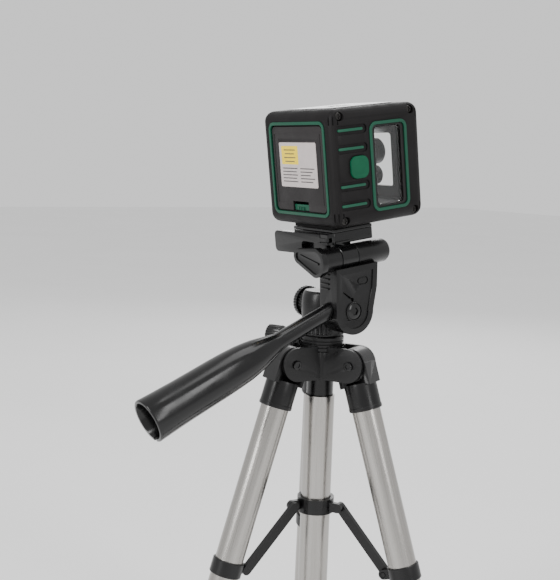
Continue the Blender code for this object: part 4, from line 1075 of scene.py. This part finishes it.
def make_arm():
    body = softened(slab("YZ", arm_outline(), ARM_X), 2.6, 5, 50)
    face = ARM_X[1]
    recess = softened(slab("YZ", arm_outline(3.6), (face - 0.9, face + 3)), 0.8, 3, 50)
    body = cut(body, recess)
    boss = pipe(5.7, 4.9, (face - 1.6, face - 0.1), 0.25, axis="X")
    body = join(body, boss)
    flip_x, flip_z = FLIP
    centre = (flip_x, 0, flip_z)
    room = rod(BARREL + 0.5, grown(BARREL_MIDDLE, GAP), "Y", centre)
    body = cut(body, room)
    rear = rod(BARREL, BARREL_REAR, "Y", centre, 0.5)
    front_start, front_end = BARREL_FRONT
    front = lathe(
        [(0, front_end), (4.6, front_end - 0.1), (6.1, front_end - 0.8), (BARREL, front_end - 2.4),
         (BARREL, front_start + 0.4), (BARREL - 0.4, front_start), (0, front_start)],
        "Y",
        centre,
    )
    web_x = about(flip_x, 3.6)
    web_z = (ARM_TOP - 2, flip_z)
    rear_web = boxes((web_x, (ARM_TOP_Y[0] + 2, BARREL_REAR[1] - 0.3), web_z))
    front_web = boxes((web_x, (BARREL_FRONT[0] + 0.3, ARM_TOP_Y[1] - 2), web_z))
    body = join(body, rear_web, front_web, rear, front)
    rib_x = (ARM_X[0] + 0.9, flip_x + 1.0)
    ribs = [
        (rib_x, (-12.2 - step * 0.25, -10.6), (22.4 - step * 2.8, 23.4 - step * 2.8))
        for step in range(4)
    ]
    body = join(body, softened(boxes(*ribs), 0.25, 2))
    oval = ring_slab("YZ", (3.8, 11.6), (14.6, 19.2), 2.3, 0.7, (face - 1.5, face + 2))
    mark = boxes(((face - 2.3, face + 2), (-4.0, 4.0), (-0.6, 0.6)))
    turned_by(mark, Matrix.Rotation(math.radians(-39), 4, "X"))
    turned_by(mark, Matrix.Translation(Vector((0, -3.9, 9.6)) * MM))
    dot = rod(1.1, (face - 2.4, face + 2), "X", (0, -0.7, 7.0), steps=24)
    body = cut(body, oval, mark, dot)
    pin = rod(2.3, (-30, 29), "Y", centre, steps=COARSE)
    axle = rod(TILT_PIN + GAP, (0, 25), "X", steps=COARSE)
    start = TILT.inverted() @ HANDLE
    stud = rod(2.8, (-5, 9), "Y", steps=COARSE)
    seat = rod(5.2, (-10, 0), "Y")
    turned_by(stud, start)
    turned_by(seat, start)
    body = softened(cut(body, pin, axle, stud, seat), 0.2, 2, 50)
    piece(body, "tilt_arm", TILT, "tilt", SATIN, ["tilt_body"])
    cap = lathe(
        [
            (0, face + 0.2), (3.6, face), (4.6, face - 0.5),
            (4.8, face - 1.2), (4.8, face - 1.6), (0, face - 1.6),
        ],
        "X",
    )
    hexagon = slab("YZ", arc((0, 0), 2.4, 0, 300, 5), (face - 0.7, face + 1))
    piece(cut(cap, hexagon), "arm_pivot_cap", TILT, "tilt", GLOSS)
    keep_node("flip_axle", STEEL)
    keep_node("tilt_axle", STEEL)


def make_knob():
    outer, inner = KNOB_X
    flange = slab("YZ", scallop(KNOB_RADIUS, 0.3, 32, 6), (outer, outer + 3.0))
    flange = softened(flange, 0.5, 3, 60)
    drum = slab("YZ", scallop(KNOB_DRUM, 0.35, 24, 6), (outer + 2.5, inner))
    knob = join(flange, drum)
    hole = rod(TILT_PIN + GAP, (outer + 2.6, inner + 1), "X", steps=COARSE)
    dish = lathe([(0, outer + 0.7), (5.6, outer + 0.6), (6.6, outer - 0.6), (0, outer - 0.6)], "X")
    knob = softened(cut(knob, hole, dish), 0.15, 2, 50)
    piece(knob, "tilt_lock_knob", TILT, "tilt_lock", GLOSS, ["tilt_knob"])


def make_wing():
    place = moved(TILT, FLIP[0], 0, FLIP[1])

    def outline(inset):
        root = arc((0, 0), 8.6 - inset, -100, 78, 28)
        tip = arc((-15.2, 2.4), 4.5 - inset, 78, 240, 20)
        return [*root, *tip]

    wing = softened(slab("XZ", outline(0), WING_Y), 1.0, 4, 50)
    recess = softened(slab("XZ", outline(2.0), (WING_Y[0] - 2, WING_Y[0] + 0.9)), 0.5, 3, 50)
    wing = cut(wing, recess)
    ridge = boxes(((-14.5, 3.0), (WING_Y[0] + 0.3, WING_Y[0] + 1.4), (-0.5, 0.5)))
    turned_by(ridge, Matrix.Rotation(math.radians(12), 4, "Y"))
    wing = join(wing, ridge)
    piece(wing, "flip_lock_wing", place, "flip_lock", GLOSS, ["flip_wing"])


def make_handle():
    bore, depth = HANDLE_BORE
    length = HANDLE_LENGTH
    outside = [(r, -s) for s, r in HANDLE_STATIONS]
    profile = [
        (0, -HANDLE_STATIONS[0][0]),
        *outside,
        (12.2, -length + 0.25), (11.9, -length), (bore + 0.3, -length), (bore, -length + 0.4),
        (bore, -length + depth), (0, -length + depth),
    ]
    handle = lathe(profile, "Y", steps=FINE)
    stud_hole = rod(2.8, (-46, 1), "Y", steps=COARSE)
    notch = boxes(((-1.3, 1.3), (-length - 1, -length + 2.2), (-14, -bore + 1)))
    handle = cut(handle, stud_hole, notch)
    piece(handle, "handle_grip", HANDLE, "handle", GLOSS, ["pan_handle"], 40)
    keep_node("handle_stud", STEEL)


def make_post():
    low, high = POST_Z
    profile = [
        (0, high), *((POST_RADIUS - inset, high - drop) for inset, drop in POST_DOME),
        (POST_RADIUS - 0.5, POST_RIB_TOP + 1.4), (POST_RADIUS - 0.6, POST_RIB_TOP),
        (POST_RADIUS - 0.6, low + 1.2), (POST_RADIUS, low + 0.9), (POST_RADIUS, low), (0, low),
    ]
    post = lathe(profile, steps=FINE)
    ribs = slab("XY", scallop(POST_RADIUS - 0.1, 0.9, 30, 6), (low + 0.5, POST_RIB_TOP + 0.3))
    post = join(post, ribs)
    for side in (-1, 1):
        flat = boxes((sided(side, POST_FLAT, 20), (-20, 20), (low - 1, high + 1)))
        post = cut(post, flat)
    socket = rod(POST_SOCKET[0], (low - 1, POST_SOCKET[1]))
    axle = rod(TILT_PIN + GAP, (-20, 20), "X", (0, *TILT_AXIS), steps=COARSE)
    stud = rod(STUD_RADIUS + GAP, (4, 20), "X", steps=COARSE)
    turned_by(stud, TRIPOD.inverted() @ PAN_LOCK)
    post = softened(cut(post, socket, axle, stud), 0.2, 2, 50)
    piece(post, "pan_post", TRIPOD, "pan", SATIN, ["pan_base"])


def make_collar():
    low, high = COLLAR_Z
    profile = [(COLUMN_RADIUS + GAP, high), (COLLAR_RADIUS - 0.8, high), (COLLAR_RADIUS, high - 0.8)]
    levels = (high - 2.6, high - 4.5, high - 6.4)
    profile += grooves(levels, COLLAR_RADIUS, 0.7, 0.45, 0.25)
    profile += [(COLLAR_RADIUS, low + 0.4), (COLLAR_RADIUS - 0.4, low), (COLUMN_RADIUS + GAP, low)]
    collar = lathe(profile, steps=FINE, closed=True)
    stud = rod(STUD_RADIUS + GAP, (4, 20), "X", steps=COARSE)
    turned_by(stud, TRIPOD.inverted() @ LOCK)
    collar = cut(collar, stud)
    piece(collar, "clamp_collar", TRIPOD, "tripod", SATIN, ["column_collar"])


def make_stud_knob(name, place, body, settings, replaced):
    radius, near, far = settings
    head = slab("YZ", scallop(radius, 0.05 * radius, 20, 6), (near, far))
    head = softened(head, 0.6, 3, 60)
    tip = POST_SOCKET[0] + 0.4
    neck = lathe(
        [
            (0, near + 1), (STUD_RADIUS + 1.2, near + 1), (STUD_RADIUS + 1.2, POST_RADIUS + 1.0),
            (STUD_RADIUS, POST_RADIUS + 1.0), (STUD_RADIUS, tip), (0, tip),
        ],
        "X",
    )
    edge = [(radius * 0.5, far - 0.5), (radius * 0.62, far + 0.5)]
    dish = lathe([(0, far - 0.6), *edge, (0, far + 0.5)], "X")
    knob = cut(join(head, neck), dish)
    piece(knob, name, place, body, GLOSS, [replaced])


def make_column():
    column = pipe(COLUMN_RADIUS, COLUMN_RADIUS - COLUMN_WALL, COLUMN_Z, 0.15)
    piece(column, "centre_column", TRIPOD, "column", ALUMINIUM, ["column_tube"])
    guide = pipe(GUIDE_RADIUS, GUIDE_BORE, GUIDE_Z, 0.15)
    piece(guide, "column_guide", TRIPOD, "tripod", ALUMINIUM, ["guide_tube"])


# -------- tripod


def make_spider():
    low, high = HUB_Z
    spigot, tip = SPIGOT
    hub = lathe(
        [
            (0, high), (HUB_RADIUS, high), (HUB_RADIUS, low + 0.8), (HUB_RADIUS - 0.8, low),
            (spigot, low), (spigot, tip + 0.3), (spigot - 0.3, tip), (0, tip),
        ],
        steps=FINE,
    )
    end_x, end_radius = ARM_END
    bottom = HINGE[1] - end_radius
    top = HINGE[1] + end_radius
    arms = []
    cutters = []
    for number in LEGS:
        place = TRIPOD.inverted() @ arm_frame(number)
        end = arc((end_x, HINGE[1]), end_radius, -90, 90, 32)
        arm = slab("XZ", [(0, bottom), *end, (0, top)], (-ARM_WIDTH / 2, ARM_WIDTH / 2))
        arms.append(turned_by(softened(arm, 0.8, 3, 50), place))
        half = ARM_SLOT / 2
        slot = boxes(((HUB_RADIUS + 0.3, 40), (-half, half), (bottom - 2, top + 2)))
        hole = rod(2.3, (-ARM_WIDTH, ARM_WIDTH), "Y", (HINGE[0], 0, HINGE[1]), steps=COARSE)
        cutters += [turned_by(slot, place), turned_by(hole, place)]
    hub = join(hub, *arms)
    collar_room = rod(COLLAR_RADIUS + 0.4, (high, top + 5))
    bore = rod(HUB_BORE, (tip - 1, top + 1))
    hub = softened(cut(hub, collar_room, bore, *cutters), 0.3, 2, 50)
    piece(hub, "leg_spider", TRIPOD, "tripod", SATIN, ["spider"])


def make_leg(number):
    place = leg_frame(number)
    body = f"leg_{number}"
    half = CASTING_TONGUE / 2
    start, end = CASTING_Z
    eye = rod(CASTING_RADIUS, (-half, half), "Y", edge=0.5)
    neck = boxes(((-CASTING_RADIUS, CASTING_RADIUS), (-half, half), (start - 2, 0)))
    barrel = lathe(
        [
            (0, start), (CASTING_RADIUS - 1.5, start), (CASTING_RADIUS - 0.5, start - 0.6),
            (CASTING_RADIUS - 0.2, start - 2), (CASTING_RADIUS - 0.2, end + 2.4),
            (CASTING_RADIUS, end + 2.1), (CASTING_RADIUS, end + 0.4),
            (CASTING_RADIUS - 0.4, end), (0, end),
        ]
    )
    pin = rod(2.0, (-ARM_WIDTH / 2, ARM_WIDTH / 2), "Y", steps=COARSE)
    socket = rod(TUBES["upper"][0] + GAP, (end - 1, -13.5))
    casting = cut(join(eye, neck, barrel, pin), socket)
    piece(casting, f"{body}_knuckle", place, body, SATIN, [f"{body}_casting"])
    for side, word in ((1, "a"), (-1, "b")):
        face = ARM_WIDTH / 2
        head = rod(BOLT_HEAD, sided(side, face + 0.1, face + 1.1), "Y", edge=0.4, steps=40)
        deep = sided(side, face + 0.6, face + 3)
        socket = slab("XZ", arc((0, 0), BOLT_SOCKET, 0, 300, 5), deep)
        piece(cut(head, socket), f"{body}_hinge_bolt_{word}", place, body, GLOSS)
    make_upper_tube(place, body)
    for word in ("middle", "lower"):
        radius, top, bottom = TUBES[word]
        tube = pipe(radius, radius - LEG_WALL, (top, bottom), 0.15)
        piece(
            tube, f"{body}_{word}_section", place, f"{body}_{word}", ALUMINIUM,
            [f"{body}_{word}_tube"],
        )
    make_nut(place, body, "upper", TUBES["upper"], TUBES["middle"])
    make_nut(place, body, "lower", TUBES["middle"], TUBES["lower"])
    make_foot(place, body)
    keep_node(f"{body}_strut", SATIN, 0.35)


def make_upper_tube(place, body):
    radius, top, bottom = TUBES["upper"]
    tube = pipe(radius, radius - LEG_WALL, (top, bottom), 0.15)
    piece(tube, f"{body}_upper_section", place, body, ALUMINIUM, [f"{body}_upper_tube"])
    lug_x, lug_z = LUG
    clip = pipe(radius + 1.1, radius + 0.02, about(lug_z, 4.5), 0.4)
    lug = slab(
        "XZ",
        [
            *arc((lug_x, lug_z), LUG_RADIUS, 90, 270, 16),
            (-radius, lug_z - LUG_RADIUS), (-radius, lug_z + LUG_RADIUS),
        ],
        (-2.95, -0.15),
    )
    inside = rod(radius + 0.02, about(lug_z, 10))
    hole = rod(1.7, (-5, 1), "Y", (lug_x, 0, lug_z), steps=24)
    lug = cut(lug, inside)
    clip = softened(cut(join(clip, lug), hole), 0.15, 2, 50)
    piece(clip, f"{body}_brace_clip", place, body, SATIN)


def make_nut(place, body, word, big_tube, small_tube):
    start, end = NUTS[word]
    big = big_tube[0]
    small = small_tube[0]
    step = big_tube[2]
    outside = big + NUT_WALL
    core = lathe(
        [
            (big + GAP, start), (outside - 1.3, start), (outside - 0.7, start - 0.8),
            (outside - 0.7, end + 1.2), (outside - 1.8, end), (small + GAP, end),
            (small + GAP, step - GAP), (big + GAP, step - GAP),
        ],
        closed=True,
    )
    grip = slab(
        "XY",
        scallop(outside, 0.8, 26, 6),
        (start - 2.2, end + 2.2),
        [arc((0, 0), outside - 1.2, 0, 354, 59)],
    )
    nut = join(core, softened(grip, 0.25, 2, 60))
    name = f"{body}_{word}"
    piece(nut, f"{name}_twist_lock", place, f"{name}_lock", SATIN, [f"{name}_nut"])


def make_foot(place, body):
    start, end = FOOT_Z
    radius = FOOT_RADIUS
    lower = TUBES["lower"][0]
    profile = [
        (0, start), (lower + 1.3, start), (lower + 1.7, start - 0.4),
        (radius - 0.4, start - 3.6), (radius, start - 4.4),
    ]
    profile += grooves((start - 6.5, start - 8.7, start - 10.9), radius, 0.6, 0.5, 0.2)
    profile += [(radius, end), (0, end)]
    foot = lathe(profile)
    socket = rod(lower + GAP, (TUBES["lower"][2] - GAP, start + 1))
    ground = boxes(((-300, 300), (-300, 300), (-300, 0)))
    turned_by(ground, place.inverted())
    foot = softened(cut(foot, socket, ground), 0.2, 2, 50)
    cad = [f"{body}_foot"]
    piece(foot, f"{body}_rubber_foot", place, f"{body}_lower", FOOT_RUBBER, cad)


# -------- stage


def make_stage():
    bpy.ops.mesh.primitive_plane_add(size=FLOOR_SIZE, location=(0, 0, 0))
    floor = bpy.context.active_object
    floor.name = "floor"
    surface = Surface("pale_floor", (0.88, 0.88, 0.88), 0.7)
    surface.vary_colour(surface.noise(3, 3), (0.90, 0.90, 0.90))
    floor.data.materials.append(surface.material)
    world = bpy.data.worlds.new("studio")
    world.use_nodes = True
    background = world.node_tree.nodes["Background"]
    background.inputs["Color"].default_value = (1.0, 1.0, 1.0, 1.0)
    background.inputs["Strength"].default_value = WORLD_STRENGTH
    bpy.context.scene.world = world
    centre = TRIPOD.translation
    for name, offset, size, power in LIGHTS:
        data = bpy.data.lights.new(name, "AREA")
        data.shape = "RECTANGLE"
        data.size, data.size_y = size
        data.energy = power
        light = linked(data, name)
        light.location = centre + Vector(offset)
        aim = centre + Vector((0, 0, LIGHT_AIM)) - light.location
        light.rotation_euler = aim.to_track_quat("-Z", "Y").to_euler()


def make_camera():
    forward = Vector(
        (
            -math.sin(CAMERA_HEADING) * math.cos(CAMERA_PITCH),
            math.cos(CAMERA_HEADING) * math.cos(CAMERA_PITCH),
            math.sin(CAMERA_PITCH),
        )
    )
    right = forward.cross(UP).normalized()
    up = right.cross(forward)
    rolled_right = right * math.cos(CAMERA_ROLL) + up * math.sin(CAMERA_ROLL)
    rolled_up = up * math.cos(CAMERA_ROLL) - right * math.sin(CAMERA_ROLL)
    data = bpy.data.cameras.new("camera")
    data.sensor_fit = "HORIZONTAL"
    data.sensor_width = SENSOR_WIDTH
    data.lens = CAMERA_LENS
    data.clip_start = 0.01
    camera = linked(data, "camera")
    place = TRIPOD.translation + Vector(CAMERA_PLACE) * MM
    camera.matrix_world = axes_frame(place, rolled_right, rolled_up, -forward)
    bpy.context.scene.camera = camera


def main():
    make_camera()
    make_stage()
    make_casing()
    make_casing_details()
    make_top()
    make_button()
    make_door()
    make_battery_contacts()
    make_pendulum()
    make_plate_and_pad()
    make_mount_screw()
    make_platform()
    make_lever()
    make_arm()
    make_knob()
    make_wing()
    make_handle()
    make_post()
    make_collar()
    make_stud_knob("column_clamp_knob", LOCK, "column_lock", LOCK_KNOB, "column_lock_knob")
    make_stud_knob("pan_clamp_knob", PAN_LOCK, "pan_lock", PAN_KNOB, "pan_knob")
    make_column()
    make_spider()
    for number in LEGS:
        make_leg(number)
    keep_node("brace_ring", SATIN, 0.3)


main()
